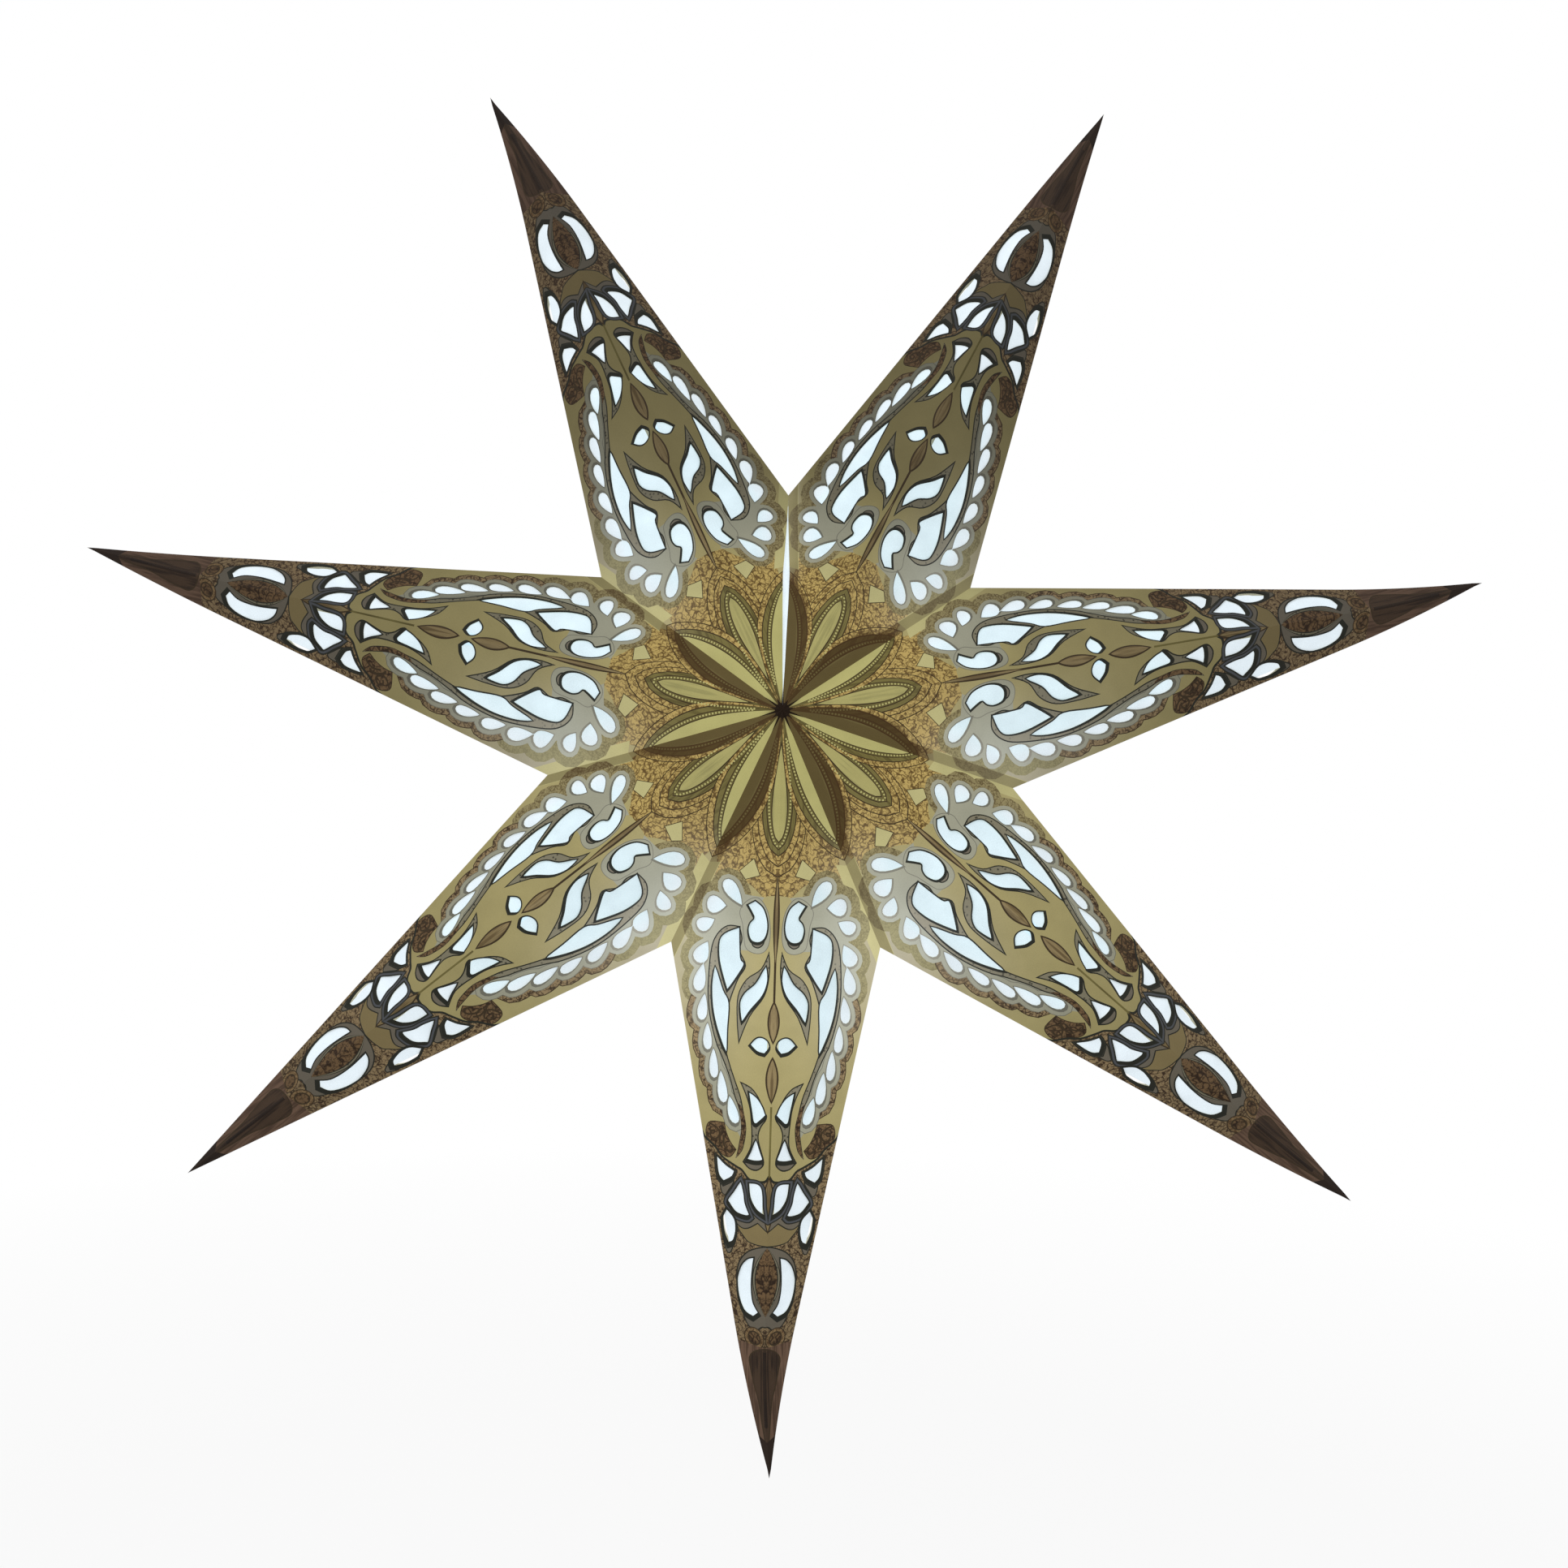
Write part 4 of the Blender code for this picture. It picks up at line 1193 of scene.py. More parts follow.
@dataclass(frozen=True)
class Facet:
    """One flat quarter of a point: its left or right half, in front or behind."""

    shape: StarShape
    centre: Vector
    point: int
    side: str
    face: str

    @property
    def name(self) -> str:
        """Name the facet as its body is named."""
        return f"point{self.point}_{self.side}_{self.face}"

    @property
    def azimuth(self) -> float:
        """Give the turn of the point to the left from the top seam."""
        return (2 * self.point - 1) * self.shape.half_angle

    @property
    def along(self) -> Vector:
        """Give the direction from the centre to the tip, in the star's plane."""
        return Vector((-math.sin(self.azimuth), 0, math.cos(self.azimuth)))

    @property
    def across(self) -> Vector:
        """Give the direction from the ridge to the facet's valley, in the star's plane."""
        sign = 1 if self.side == "right" else -1
        return Vector((math.cos(self.azimuth), 0, math.sin(self.azimuth))) * sign

    @property
    def outward(self) -> Vector:
        """Give the way out of the front or the back."""
        return Vector((0, 1 if self.face == "back" else -1, 0))

    @property
    def normal(self) -> Vector:
        """Give the facet's outward normal."""
        return (self.along * self.shape.slope_along + self.across * self.shape.slope_across
                + self.outward).normalized()

    def corners(self, height: float, insets: Triple) -> np.ndarray:
        """Give the corners of one surface of the sheet, mitred to meet its neighbours.

        Args:
            height: How far the surface lies outside the facet's middle plane.
            insets: How far the ridge, the valley and the side edge are drawn in.

        Returns:
            The apex, the tip and the valley corner, one row each.
        """
        shape = self.shape
        apex = self.outward * shape.half_depth
        tip = self.along * shape.tip_radius
        valley = self.along * shape.valley_along + self.across * shape.valley_across
        depth = (shape.half_depth - shape.valley_along * shape.slope_along
                 - shape.valley_across * shape.slope_across)
        valley += self.outward * depth
        ridge, gully, side = (inset + lean * height for inset, lean in zip(insets, shape.creases()))
        doubled_area = (tip - apex).cross(valley - apex).length
        valley_weight = ridge * (tip - apex).length / doubled_area
        tip_weight = gully * (valley - apex).length / doubled_area
        apex_weight = side * (tip - valley).length / doubled_area
        weights = np.array((
            (1 - tip_weight - valley_weight, tip_weight, valley_weight),
            (apex_weight, 1 - apex_weight - valley_weight, valley_weight),
            (apex_weight, tip_weight, 1 - apex_weight - tip_weight)))
        flat = weights @ np.array([tuple(corner) for corner in (apex, tip, valley)])
        return flat + row_of(self.normal * height + self.centre)

    def lay(self, weights: np.ndarray, height: float, insets: Triple) -> np.ndarray:
        """Lay places, given by their shares of the three corners, on one surface of the facet."""
        return weights @ self.corners(height, insets)

    @property
    def at_seam(self) -> bool:
        """Tell whether the facet's valley edge is the star's open seam in front."""
        seam = (1, "right"), (self.shape.point_count, "left")
        return self.face == "front" and (self.point, self.side) in seam

    @property
    def valley_corner(self) -> Vector:
        """Give the facet's valley corner, where two points meet at the rim."""
        return (self.centre + self.along * self.shape.valley_along
                + self.across * self.shape.valley_across)

    def valley_distances(self, spots: np.ndarray) -> tuple[np.ndarray, np.ndarray]:
        """Measure spots against the facet's valley edge.

        Args:
            spots: The spots in the scene, one row each.

        Returns:
            How far each spot is along the valley as a share of it, and how far from it.
        """
        apex = self.centre + self.outward * self.shape.half_depth
        run = self.valley_corner - apex
        offsets = spots - row_of(apex)
        shares = offsets @ row_of(run) / run.length_squared
        away = np.linalg.norm(offsets - shares[:, None] * row_of(run), axis=1)
        return shares, away


def corner_weights(places: np.ndarray, valley: Pair) -> np.ndarray:
    """Turn places of the drawing into shares of the facet's corners.

    Args:
        places: The places, one row each.
        valley: The drawing's valley corner.

    Returns:
        How much of the apex, the tip and the valley corner each place has.
    """
    valley_weight = places[:, 1] / valley[1]
    tip_weight = places[:, 0] - valley_weight * valley[0]
    return np.column_stack((1 - tip_weight - valley_weight, tip_weight, valley_weight))


def ramp(values: np.ndarray, start: float, width: float) -> np.ndarray:
    """Rise from nought at a start to one, over a width."""
    return np.clip((values - start) / width, 0.0, 1.0)


@dataclass(frozen=True)
class LampLight:
    """How the lamp lights the star: through the paper, as a white haze on it, and on the lining.

    Reaches are in metres, and the lining's border and tip are in shares of the layout.
    """

    fade_start: float = 0.075
    fade_reach: float = 0.170
    floor: float = 0.12
    middle: float = 0.85
    middle_reach: float = 0.065
    middle_fade: float = 0.045
    points: tuple[float, ...] = (0.24, 0.46, 0.76, 1.0, 0.74, 0.46, 0.20)
    haze_strength: float = 0.80
    haze_reach: float = 0.040
    haze_floor: float = 0.06
    haze_level: float = 0.03
    haze_slope: float = 4.5
    seam_haze_reach: float = 0.0055
    seam_haze_from: float = 0.5
    seam_haze_fade: float = 0.25
    border_width: float = 0.050
    border_fade: float = 0.022
    tip_from: float = 0.54
    tip_fade: float = 0.05
    seam_width: float = 0.008
    seam_fade: float = 0.003
    seam_gain: float = 1.25

    def through_paper(self, facet: Facet, spots: np.ndarray) -> np.ndarray:
        """Work out how much of the lamp's light comes through the paper at each spot.

        Args:
            facet: The facet that the spots are on.
            spots: The spots in the scene, one row each.

        Returns:
            A share of full light for each spot.
        """
        away = np.linalg.norm(spots - row_of(facet.centre), axis=1)
        falling = np.exp(-(np.maximum(away - self.fade_start, 0.0) / self.fade_reach) ** 2)
        fade = np.minimum(1.0, self.floor + (1 - self.floor) * falling)
        outer = ramp(away, self.middle_reach, self.middle_fade)
        return fade * (self.middle * (1 - outer) + self.points[facet.point - 1] * outer)

    def haze(self, facet: Facet, spots: np.ndarray) -> np.ndarray:
        """Work out where white light drowns the print: low down near the valleys, and at the seam.

        Args:
            facet: The facet that the spots are on.
            spots: The spots in the scene, one row each.

        Returns:
            A share of white light for each spot.
        """
        corner = np.linalg.norm(spots - row_of(facet.valley_corner), axis=1)
        lowness = min(max((self.haze_level - facet.normal.z) * self.haze_slope, self.haze_floor), 1.0)
        light = self.haze_strength * lowness * np.exp(-(corner / self.haze_reach) ** 2)
        if facet.at_seam and facet.side == "left":
            shares, away = facet.valley_distances(spots)
            outer = ramp(shares, self.seam_haze_from, self.seam_haze_fade)
            light += np.exp(-(away / self.seam_haze_reach) ** 2) * outer
        return np.clip(light, 0.0, 1.0)

    def on_lining(self, facet: Facet, drawing: FacetDrawing, spots: np.ndarray,
                  places: np.ndarray) -> np.ndarray:
        """Light the lining: bluish behind the large cut-outs, white at the border and the seam.

        Args:
            facet: The facet that the spots are on.
            drawing: The facet's layout.
            spots: The spots in the scene, one row each.
            places: The same spots on the layout.

        Returns:
            A share of white light for each spot.
        """
        x, y = places[:, 0], places[:, 1]
        to_side = (1 - x) * drawing.valley[1] / (1 - drawing.valley[0]) - y
        border = np.minimum(to_side, np.abs(x * drawing.slant - y))
        white = np.maximum(ramp(-border, -self.border_width, self.border_fade),
                           ramp(x, self.tip_from, self.tip_fade))
        if facet.at_seam:
            _, away = facet.valley_distances(spots)
            white = np.maximum(white, ramp(-away, -self.seam_width, self.seam_fade) * self.seam_gain)
        return white


@dataclass
class PaperStar:
    """The folded paper: a printed sheet and a lining on every facet."""

    shape: StarShape
    centre: Vector
    drawing: FacetDrawing = field(default_factory=FacetDrawing)
    light: LampLight = field(default_factory=LampLight)
    lining_steps: int = 26
    print_shift: float = 0.37
    # Painted shade of doubled paper: how the flap's shade thins along the point, the gathered shade in the
    # middle, and the shaded valley petal.
    flap_shade_thinning: float = 0.42
    thinning_from: float = 0.160
    thinning_fade: float = 0.025
    gathered_shade_strength: float = 1.5
    gathered_shade_reach: float = 0.014
    shaded_petal: Pair = (0.1874, 0.0288)
    shaded_share: float = 0.94
    seam_gap: float = 0.0034
    seam_hold: float = 0.014
    seam_opening: tuple[Pair, ...] = ((0.0, 0.0), (0.06, 0.02), (0.16, 0.30), (0.31, 0.55), (0.46, 0.85),
                                      (0.60, 1.0), (0.76, 0.50), (0.90, 0.12), (1.0, 0.0))
    tip_bends: tuple[float, ...] = (-0.0030, 0.0012, 0.0, -0.0034, -0.0018, -0.0032, 0.0010)
    bend_start: float = 0.80
    inks: list[bpy.types.Material] = field(init=False)
    lining: bpy.types.Material = field(init=False)
    cut: CutSheet = field(init=False)
    notched: CutSheet = field(init=False)

    def __post_init__(self) -> None:
        """Cut the sheet and mix the inks."""
        self.inks = [ink.value.material() for ink in Ink]
        self.lining = LINING.material()
        shape = self.shape
        self.cut = CutSheet(self.drawing, shape.flap_share, shape.flap_fade)
        self.notched = CutSheet(self.drawing, shape.flap_share, shape.flap_fade,
                                (shape.notch_share, shape.notch_radius / shape.tip_radius))
        log.info("sheet cut into %d triangles", len(self.cut.triangles))

    def facets(self) -> Iterable[Facet]:
        """List the facets in the order of the points.

        Returns:
            The facets, four to a point.
        """
        for point in range(1, self.shape.point_count + 1):
            for side in ("right", "left"):
                for face in ("back", "front"):
                    yield Facet(self.shape, self.centre, point, side, face)

    def doubled_shade(self, facet: Facet, places: np.ndarray) -> np.ndarray:
        """Paint shade where doubled paper holds back the lamp's light: gathered in the middle, on a glued
        flap along a valley, and on the petal beside that valley.

        Args:
            facet: The facet that the places are on.
            places: The places on the layout.

        Returns:
            A share of painted shade for each place.
        """
        shape, drawing = self.shape, self.drawing
        gathered_shade = np.clip(self.gathered_shade_strength - places[:, 0] / self.gathered_shade_reach, 0.0, 1.0)
        closing = facet.side == "left" and facet.point == shape.point_count
        glued = facet.side == "right" and facet.point > 1
        if not (closing or glued):
            return gathered_shade
        away = (places[:, 0] * drawing.slant - places[:, 1]) * math.cos(drawing.heading)
        flap_shade = np.clip((shape.flap_share + shape.flap_fade / 2 - away) / shape.flap_fade + 0.5, 0.0, 1.0)
        flap_shade *= 1.0 - self.flap_shade_thinning * ramp(places[:, 0], self.thinning_from, self.thinning_fade)
        nest = drawing.valley_nest
        shade = petal(*self.shaded_petal, drawing.heading, fullness=nest.fullness, roundness=nest.roundness)
        shaded = inside(shade, places) * self.shaded_share
        return np.maximum(np.maximum(flap_shade, shaded), gathered_shade)

    def settle(self, facet: Facet, spots: np.ndarray, parted: bool) -> np.ndarray:
        """Curl the end of a point a little sideways, and part the sheets at the open seam.

        Args:
            facet: The facet that the spots are on.
            spots: The spots in the scene, one row each.
            parted: Whether this sheet draws back from the seam.

        Returns:
            The spots, moved.
        """
        offsets = spots - row_of(self.centre)
        reach = offsets @ row_of(facet.along) / self.shape.tip_radius
        share = ramp(reach, self.bend_start, 1 - self.bend_start) ** 2
        sideways = Vector((math.cos(facet.azimuth), 0, math.sin(facet.azimuth)))
        moved = spots + share[:, None] * row_of(sideways * self.tip_bends[facet.point - 1])
        if parted and facet.at_seam:
            shares, away = facet.valley_distances(spots)
            run = (facet.valley_corner - facet.centre - facet.outward * self.shape.half_depth).normalized()
            inward = run.cross(facet.normal)
            inward = inward if inward.dot(facet.across) < 0 else -inward
            stops, openings = zip(*self.seam_opening)
            width = self.seam_gap / 2 * np.interp(shares, stops, openings)
            hold = np.clip(1 - away / self.seam_hold, 0.0, 1.0)
            moved = moved + (width * hold)[:, None] * row_of(inward)
        return moved

    def slab(self, facet: Facet, name: str, places: np.ndarray, triangles: np.ndarray, rim: np.ndarray,
             heights: Pair, insets: Triple) -> bpy.types.Object:
        """Make one thin closed sheet on a facet from flat triangles.

        Args:
            facet: The facet that it lies on.
            name: The piece's name.
            places: The layout places of its corners.
            triangles: Its triangles by corner number.
            rim: Its open edges by corner number.
            heights: How far its outer and inner surfaces lie outside the middle plane.
            insets: How far its ridge, valley and side edges are drawn in.

        Returns:
            The sheet as an object, with its place, glow and painted shade of doubled paper as attributes.
        """
        weights, count = corner_weights(places, self.drawing.valley), len(places)
        printed = heights[0] > 0
        outer, inner = (self.settle(facet, facet.lay(weights, height, insets), printed)
                        for height in heights)
        first, second, third = (outer[triangles[0][index]] for index in range(3))
        facing = float(np.cross(second - first, third - first) @ row_of(facet.normal))
        order = [0, 1, 2] if facing > 0 else [2, 1, 0]
        top, bottom = triangles[:, order], triangles[:, order[::-1]] + count
        edges = rim if facing > 0 else rim[:, ::-1]
        walls = np.column_stack((edges[:, 1], edges[:, 0], edges[:, 0] + count, edges[:, 1] + count))
        mesh = bpy.data.meshes.new(name)
        mesh.from_pydata(np.vstack((outer, inner)).tolist(), [],
                         [*top.tolist(), *bottom.tolist(), *walls.tolist()])
        drawn = np.column_stack((places * self.shape.tip_radius,
                                 np.full(count, facet.point * self.print_shift)))
        if printed:
            # Painted light and shade on the printed sheet: the lamp's glow through it, the shade of doubled
            # paper and the white haze.
            glow, doubled_shade = self.light.through_paper(facet, outer), self.doubled_shade(facet, places)
            pale = self.light.haze(facet, outer)
        else:
            glow, doubled_shade = np.ones(count), np.zeros(count)
            pale = self.light.on_lining(facet, self.drawing, outer, places)
        for label, kind, key, values in ((PLACE, "FLOAT_VECTOR", "vector", drawn),
                                         (GLOW, "FLOAT", "value", glow), (DOUBLED_SHADE, "FLOAT", "value", doubled_shade),
                                         (PALE, "FLOAT", "value", pale)):
            attribute = mesh.attributes.new(label, kind, "POINT")
            attribute.data.foreach_set(key, np.concatenate((values, values)).ravel())
        piece = bpy.data.objects.new(name, mesh)
        bpy.context.collection.objects.link(piece)
        return piece

    def build_sheet(self, facet: Facet) -> bpy.types.Object:
        """Lay the cut and printed sheet on a facet, in place of its plain solid.

        Args:
            facet: The facet.

        Returns:
            The sheet, with its inks.
        """
        shape = self.shape
        by_wire = (facet.point, facet.side, facet.face) == (shape.point_count, "left", "back")
        cut = self.notched if by_wire else self.cut
        heights = (shape.stack / 2, shape.stack / 2 - shape.paper)
        piece = self.slab(facet, facet.name + "_printed_sheet", cut.places, cut.triangles, cut.rim,
                          heights, (shape.crease_gap, shape.crease_gap, shape.side_gap))
        for material in self.inks:
            piece.data.materials.append(material)
        slots = np.concatenate((cut.inks, np.full(len(cut.inks), Ink.INSIDE.slot), cut.rim_inks))
        piece.data.polygons.foreach_set("material_index", slots.astype(np.int32))
        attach(piece, facet.name)
        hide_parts(facet.name + "_panel")
        return piece

    def build_lining(self, facet: Facet) -> bpy.types.Object:
        """Lay the white lining behind a facet's cut-outs, in place of its plain solid.

        Args:
            facet: The facet.

        Returns:
            The lining.
        """
        shape, steps = self.shape, self.lining_steps
        numbers, places, triangles = {}, [], []
        for row in range(steps + 1):
            for column in range(steps + 1 - row):
                numbers[row, column] = len(places)
                places.append(np.array((steps - row - column, row, column)) / steps @ self.drawing.corners)
        for row, column in numbers:
            if row + column < steps:
                triangles.append((numbers[row, column], numbers[row + 1, column], numbers[row, column + 1]))
            if row + column < steps - 1:
                triangles.append((numbers[row + 1, column], numbers[row + 1, column + 1],
                                  numbers[row, column + 1]))
        border = ([numbers[row, 0] for row in range(steps)]
                  + [numbers[steps - column, column] for column in range(steps)]
                  + [numbers[0, steps - row] for row in range(steps)])
        rim = np.array([(start, end) for start, end in zip(border, border[1:] + border[:1])])
        heights = (shape.lining - shape.stack / 2, -shape.stack / 2)
        margin = shape.lining_margin
        insets = (margin, shape.crease_gap if facet.at_seam else margin, margin)
        piece = self.slab(facet, facet.name + "_lining_sheet", np.array(places), np.array(triangles), rim,
                          heights, insets)
        piece.data.materials.append(self.lining)
        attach(piece, facet.name)
        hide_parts(facet.name + "_lining")
        return piece

    def build(self) -> None:
        """Build the sheet and the lining of every facet."""
        for facet in self.facets():
            sheet = self.build_sheet(facet)
            lining = self.build_lining(facet)
            log.info("%s with %d faces, %s", sheet.name, len(sheet.data.polygons), lining.name)


# The lamp and its wire

def turned(name: str, profile: Sequence[Pair], place: Vector, sides: int = 72) -> bpy.types.Object:
    """Turn a closed profile of radius and height about Z into a smooth body.

    Args:
        name: The piece's name.
        profile: Its outline from the axis round to the axis, or closed on itself.
        place: Where the profile's origin goes.
        sides: How many flats approach the circle.

    Returns:
        The turned body.
    """
    vertices, rings, faces = [], [], []
    for radius, height in profile:
        count = 1 if radius == 0 else sides
        rings.append([len(vertices) + index % count for index in range(sides)])
        vertices += [(radius * math.cos(2 * math.pi * index / sides),
                      radius * math.sin(2 * math.pi * index / sides), height) for index in range(count)]
    for lower, upper in zip(rings, rings[1:]):
        for index in range(sides):
            following = (index + 1) % sides
            corners = (lower[index], lower[following], upper[following], upper[index])
            faces.append(tuple(dict.fromkeys(corners)))
    mesh = bpy.data.meshes.new(name)
    mesh.from_pydata(vertices, [], faces)
    mesh.shade_smooth()
    mesh.set_sharp_from_angle(angle=math.radians(35))
    body = bpy.data.objects.new(name, mesh)
    body.location = place
    bpy.context.collection.objects.link(body)
    return body


@dataclass
class Lamp:
    """The small lamp in the star's middle: an opal globe with a screw cap, in its holder."""

    globe_middle: Vector
    globe_radius: float = 0.0200
    globe_rings: int = 30
    neck_radius: float = 0.0095
    neck_length: float = 0.0075
    neck_turn: float = 0.12
    neck_from: float = 0.15
    neck_rings: int = 8
    cap_radius: float = 0.0067
    cap_length: float = 0.0175
    thread_pitch: float = 0.0028
    thread_depth: float = 0.0006
    thread_steps: int = 8
    seat_gap: float = 0.0003
    holder_radius: float = 0.0122
    rim_radius: float = 0.0134
    rim_height: float = 0.0040
    body_length: float = 0.028
    shoulder_length: float = 0.009
    shoulder_step: float = 0.0008
    nipple_radius: float = 0.0048
    nipple_length: float = 0.007
    bore_gap: float = 0.0007
    bore_bevel: float = 0.0004
    bevel: float = 0.0006
    rib_count: int = 6
    rib_margin: float = 0.004
    rib_depth: float = 0.0005
    rib_slope: Pair = (0.0008, 0.0003)
    body: str = "point1_right_back"

    @property
    def seat(self) -> float:
        """Give the height of the globe's collar, where the holder seats."""
        return math.sqrt(self.globe_radius ** 2 - self.neck_radius ** 2) + self.neck_length

    def build_globe(self) -> bpy.types.Object:
        """Build the opal globe with its neck flowing into the collar.

        Returns:
            The globe.
        """
        last = math.pi - math.asin(self.neck_radius / self.globe_radius) - self.neck_turn
        globe = [(self.globe_radius * math.sin(turn), -self.globe_radius * math.cos(turn))
                 for turn in np.linspace(0.0, last, self.globe_rings)]
        globe[0] = (0, -self.globe_radius)
        end_radius, end_height = globe[-1]
        neck = [(self.neck_radius + (end_radius - self.neck_radius) * (1 - share) ** 2,
                 end_height + (self.seat - end_height) * share)
                for share in np.linspace(self.neck_from, 1.0, self.neck_rings)]
        piece = turned("opal_globe", [*globe, *neck, (0, self.seat)], self.globe_middle)
        piece.data.materials.append(OPAL_GLOBE.material())
        return piece

    def build_cap(self) -> bpy.types.Object:
        """Build the threaded screw cap above the globe's collar.

        Returns:
            The cap.
        """
        bottom = self.seat + self.seat_gap / 3
        steps = int(self.cap_length / self.thread_pitch) * self.thread_steps
        profile = [(0, bottom)]
        for step in range(steps + 1):
            swell = math.sin(2 * math.pi * step / self.thread_steps) * self.thread_depth / 2
            profile.append((self.cap_radius - self.thread_depth / 2 + swell,
                            bottom + self.cap_length * step / steps))
        profile.append((0, profile[-1][1]))
        piece = turned("screw_cap", profile, self.globe_middle)
        piece.data.materials.append(SCREW_CAP.material())
        return piece

    def build_holder(self) -> bpy.types.Object:
        """Build the ribbed holder with its rim, shoulder and nipple.

        Returns:
            The holder.
        """
        mouth = self.seat + self.seat_gap
        rim, end = mouth + self.rim_height, mouth + self.body_length
        shoulder = end + self.shoulder_length
        top = shoulder + self.nipple_length
        bore = self.cap_radius + self.bore_gap
        bore_end = self.seat + self.cap_length + 2 * self.seat_gap
        outer, groove = self.rib_slope
        ribs = []
        for rib in np.linspace(rim + self.rib_margin, end - self.rib_margin, self.rib_count):
            ribs += [(self.holder_radius, rib - outer), (self.holder_radius - self.rib_depth, rib - groove),
                     (self.holder_radius - self.rib_depth, rib + groove), (self.holder_radius, rib + outer)]
        profile = [
            (0, bore_end), (bore, bore_end), (bore, mouth + self.bore_bevel),
            (bore + self.bore_bevel, mouth),
            (self.rim_radius - self.bevel, mouth), (self.rim_radius, mouth + self.bevel),
            (self.rim_radius, rim - self.bevel), (self.rim_radius - self.bevel, rim),
            (self.holder_radius, rim), *ribs,
            (self.holder_radius, end - self.bevel), (self.holder_radius - self.bevel, end),
            (self.nipple_radius + self.shoulder_step, shoulder - self.bevel),
            (self.nipple_radius, shoulder),
            (self.nipple_radius, top - self.bevel), (self.nipple_radius - self.bevel, top), (0, top)]
        piece = turned("ribbed_lampholder", profile, self.globe_middle)
        piece.data.materials.append(BLACK_PLASTIC.material())
        return piece

    def build(self) -> None:
        """Build the lamp's pieces and hang them on the first sheet."""
        globe, cap, holder = self.build_globe(), self.build_cap(), self.build_holder()
        for piece in (globe, cap, holder):
            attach(piece, self.body)
        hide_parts("bulb")
        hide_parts("lampholder")
        log.info("%s, %s and %s", globe.name, cap.name, holder.name)


def dress_wire() -> None:
    """Give the hanging wire its drawn steel."""
    wire = frame["nodes"]["hanging_wire"]
    wire.data.materials.clear()
    wire.data.materials.append(STEEL_WIRE.material())
    log.info("%s dressed", wire.name)


# The studio

@dataclass(frozen=True)
class SoftLamp:
    """One large square lamp of the studio, by its place from the star's middle."""

    name: str
    place: Triple
    energy: float
    size: float


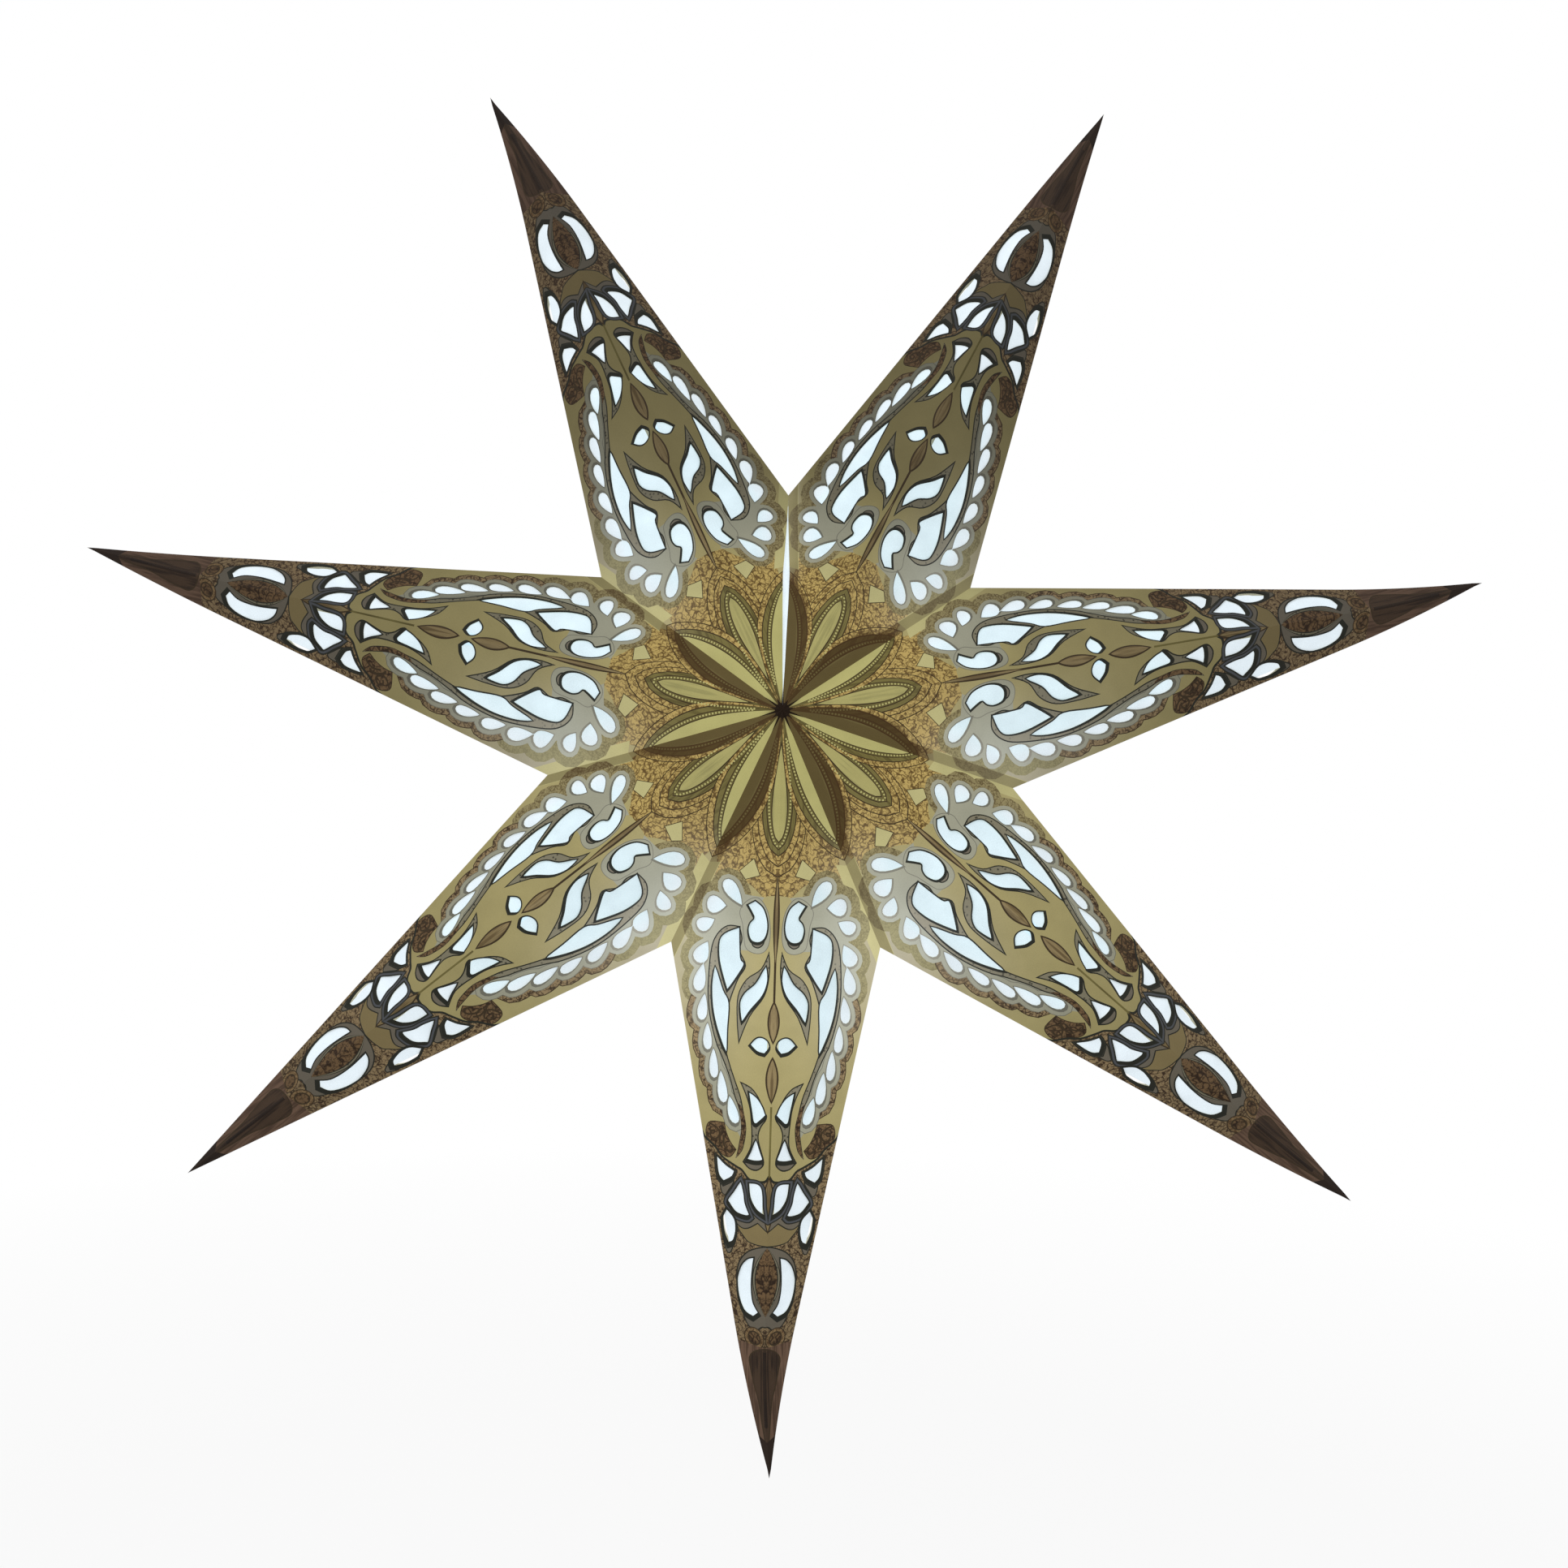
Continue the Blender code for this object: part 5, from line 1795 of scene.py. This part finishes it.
@dataclass
class Studio:
    """A pale floor, soft light from all round and a camera where the photograph was taken."""

    centre: Vector
    floor_drop: float = 0.46
    floor_size: float = 40.0
    floor_colour: Colour = (0.90, 0.90, 0.90)
    floor_roughness: float = 0.9
    shadow_reach: float = 0.75
    shadow_white: float = 0.76
    ambient: float = 0.72
    lamps: tuple[SoftLamp, ...] = (SoftLamp("key", (-0.9, -1.5, 1.1), 9.0, 1.4),
                                   SoftLamp("back_fill", (0.8, 1.6, 0.9), 7.0, 1.6))
    focal_pixels: float = 1600.0
    image_pixels: float = 1932.0
    sensor: float = 36.0
    camera_turns: Triple = (math.radians(-4.2), math.radians(0.3), math.radians(-1.6))
    camera_shift: Pair = (-0.0009, 0.0231)
    camera_distance: float = 0.5435
    clip_start: float = 0.01

    def build_floor(self) -> None:
        """Lay the floor, white in the picture but for the lantern's soft shadow."""
        mesh = bpy.data.meshes.new("floor")
        half = self.floor_size / 2
        mesh.from_pydata([(-half, -half, 0), (half, -half, 0), (half, half, 0), (-half, half, 0)], [],
                         [(0, 1, 2, 3)])
        floor = bpy.data.objects.new("floor", mesh)
        floor.location = self.centre - Vector((0, 0, self.floor_drop))
        bpy.context.collection.objects.link(floor)
        sketch = MaterialSketch("pale_floor")
        place = Signal(sketch, sketch.node("ShaderNodeNewGeometry").outputs["Position"])
        away = sketch.node("ShaderNodeVectorMath", {"operation": "LENGTH"}, {0: place})
        far = ((Signal(sketch, away.outputs["Value"]) - self.shadow_reach) / self.shadow_reach).clamped()
        white_share = self.seen(sketch) * (self.shadow_white + far * (1 - self.shadow_white))
        sketch.dress(Base_Color=self.floor_colour, Roughness=self.floor_roughness)
        white = sketch.node("ShaderNodeEmission", None, {"Color": (1.0, 1.0, 1.0), "Strength": 1.0})
        plain, bright = Signal(sketch, sketch.shader.outputs[0]), Signal(sketch, white.outputs[0])
        mix = sketch.node("ShaderNodeMixShader", None, {0: white_share, 1: plain, 2: bright})
        sketch.feed(sketch.tree.nodes["Material Output"].inputs[0], Signal(sketch, mix.outputs[0]))
        mesh.materials.append(sketch.material)

    @staticmethod
    def seen(sketch: NodeSketch) -> Signal:
        """Tell whether a ray is one that the picture sees, straight, mirrored or through glass.

        Args:
            sketch: The nodes that it belongs to.

        Returns:
            One for such a ray and nought for the others.
        """
        path = sketch.node("ShaderNodeLightPath")
        straight, mirrored, through = (Signal(sketch, path.outputs[f"Is {kind} Ray"])
                                       for kind in ("Camera", "Glossy", "Transmission"))
        return straight.over(mirrored).over(through)

    def build_world(self) -> None:
        """Light everything softly, and show plain white behind the lantern."""
        world = bpy.data.worlds.new("studio")
        bpy.context.scene.world = world
        world.use_nodes = True
        sketch = NodeSketch(world.node_tree)
        sky = world.node_tree.nodes["Background"]
        sketch.feed(sky.inputs["Color"], (1.0, 1.0, 1.0))
        sketch.feed(sky.inputs["Strength"], self.ambient + self.seen(sketch) * (1.0 - self.ambient))

    def build_lights(self) -> None:
        """Set the large soft lamps, so that the folds read."""
        for lamp in self.lamps:
            light = bpy.data.lights.new(lamp.name, "AREA")
            light.energy = lamp.energy
            light.size = lamp.size
            holder = bpy.data.objects.new(lamp.name, light)
            spot = self.centre + Vector(lamp.place)
            holder.location = spot
            holder.rotation_euler = (self.centre - spot).to_track_quat("-Z", "Y").to_euler()
            bpy.context.collection.objects.link(holder)

    def build_camera(self) -> None:
        """Put the camera where the photograph was taken from."""
        tilt, pan, roll = self.camera_turns
        turn = (Matrix.Rotation(tilt, 3, "X") @ Matrix.Rotation(pan, 3, "Y")
                @ Matrix.Rotation(roll, 3, "Z")).transposed()
        upright = Matrix(((1, 0, 0), (0, 0, -1), (0, 1, 0)))
        shift_x, shift_y = self.camera_shift
        place = upright @ turn @ Vector((-shift_x, -shift_y, self.camera_distance))
        data = bpy.data.cameras.new("camera")
        data.sensor_width = self.sensor
        data.lens = self.focal_pixels / self.image_pixels * self.sensor
        data.clip_start = self.clip_start
        camera = bpy.data.objects.new("camera", data)
        camera.matrix_world = Matrix.Translation(self.centre + place) @ (upright @ turn).to_4x4()
        bpy.context.collection.objects.link(camera)
        bpy.context.scene.camera = camera

    def build(self) -> None:
        """Build the whole studio."""
        bpy.context.scene.view_settings.view_transform = "Standard"
        self.build_floor()
        self.build_world()
        self.build_lights()
        self.build_camera()


def globe_middle(radius: float) -> Vector:
    """Read where the lamp's globe is from its solid."""
    low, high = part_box("bulb")
    return Vector(((low[0] + high[0]) / 2, (low[1] + high[1]) / 2, low[2] + radius))


def main() -> None:
    """Dress the lantern and set up the studio."""
    logging.basicConfig(level=logging.INFO, format="%(name)s: %(message)s")
    lamp = Lamp(globe_middle(Lamp.globe_radius))
    centre = lamp.globe_middle
    PaperStar(StarShape(), centre).build()
    lamp.build()
    dress_wire()
    Studio(centre).build()


if __name__ == "__main__":
    main()
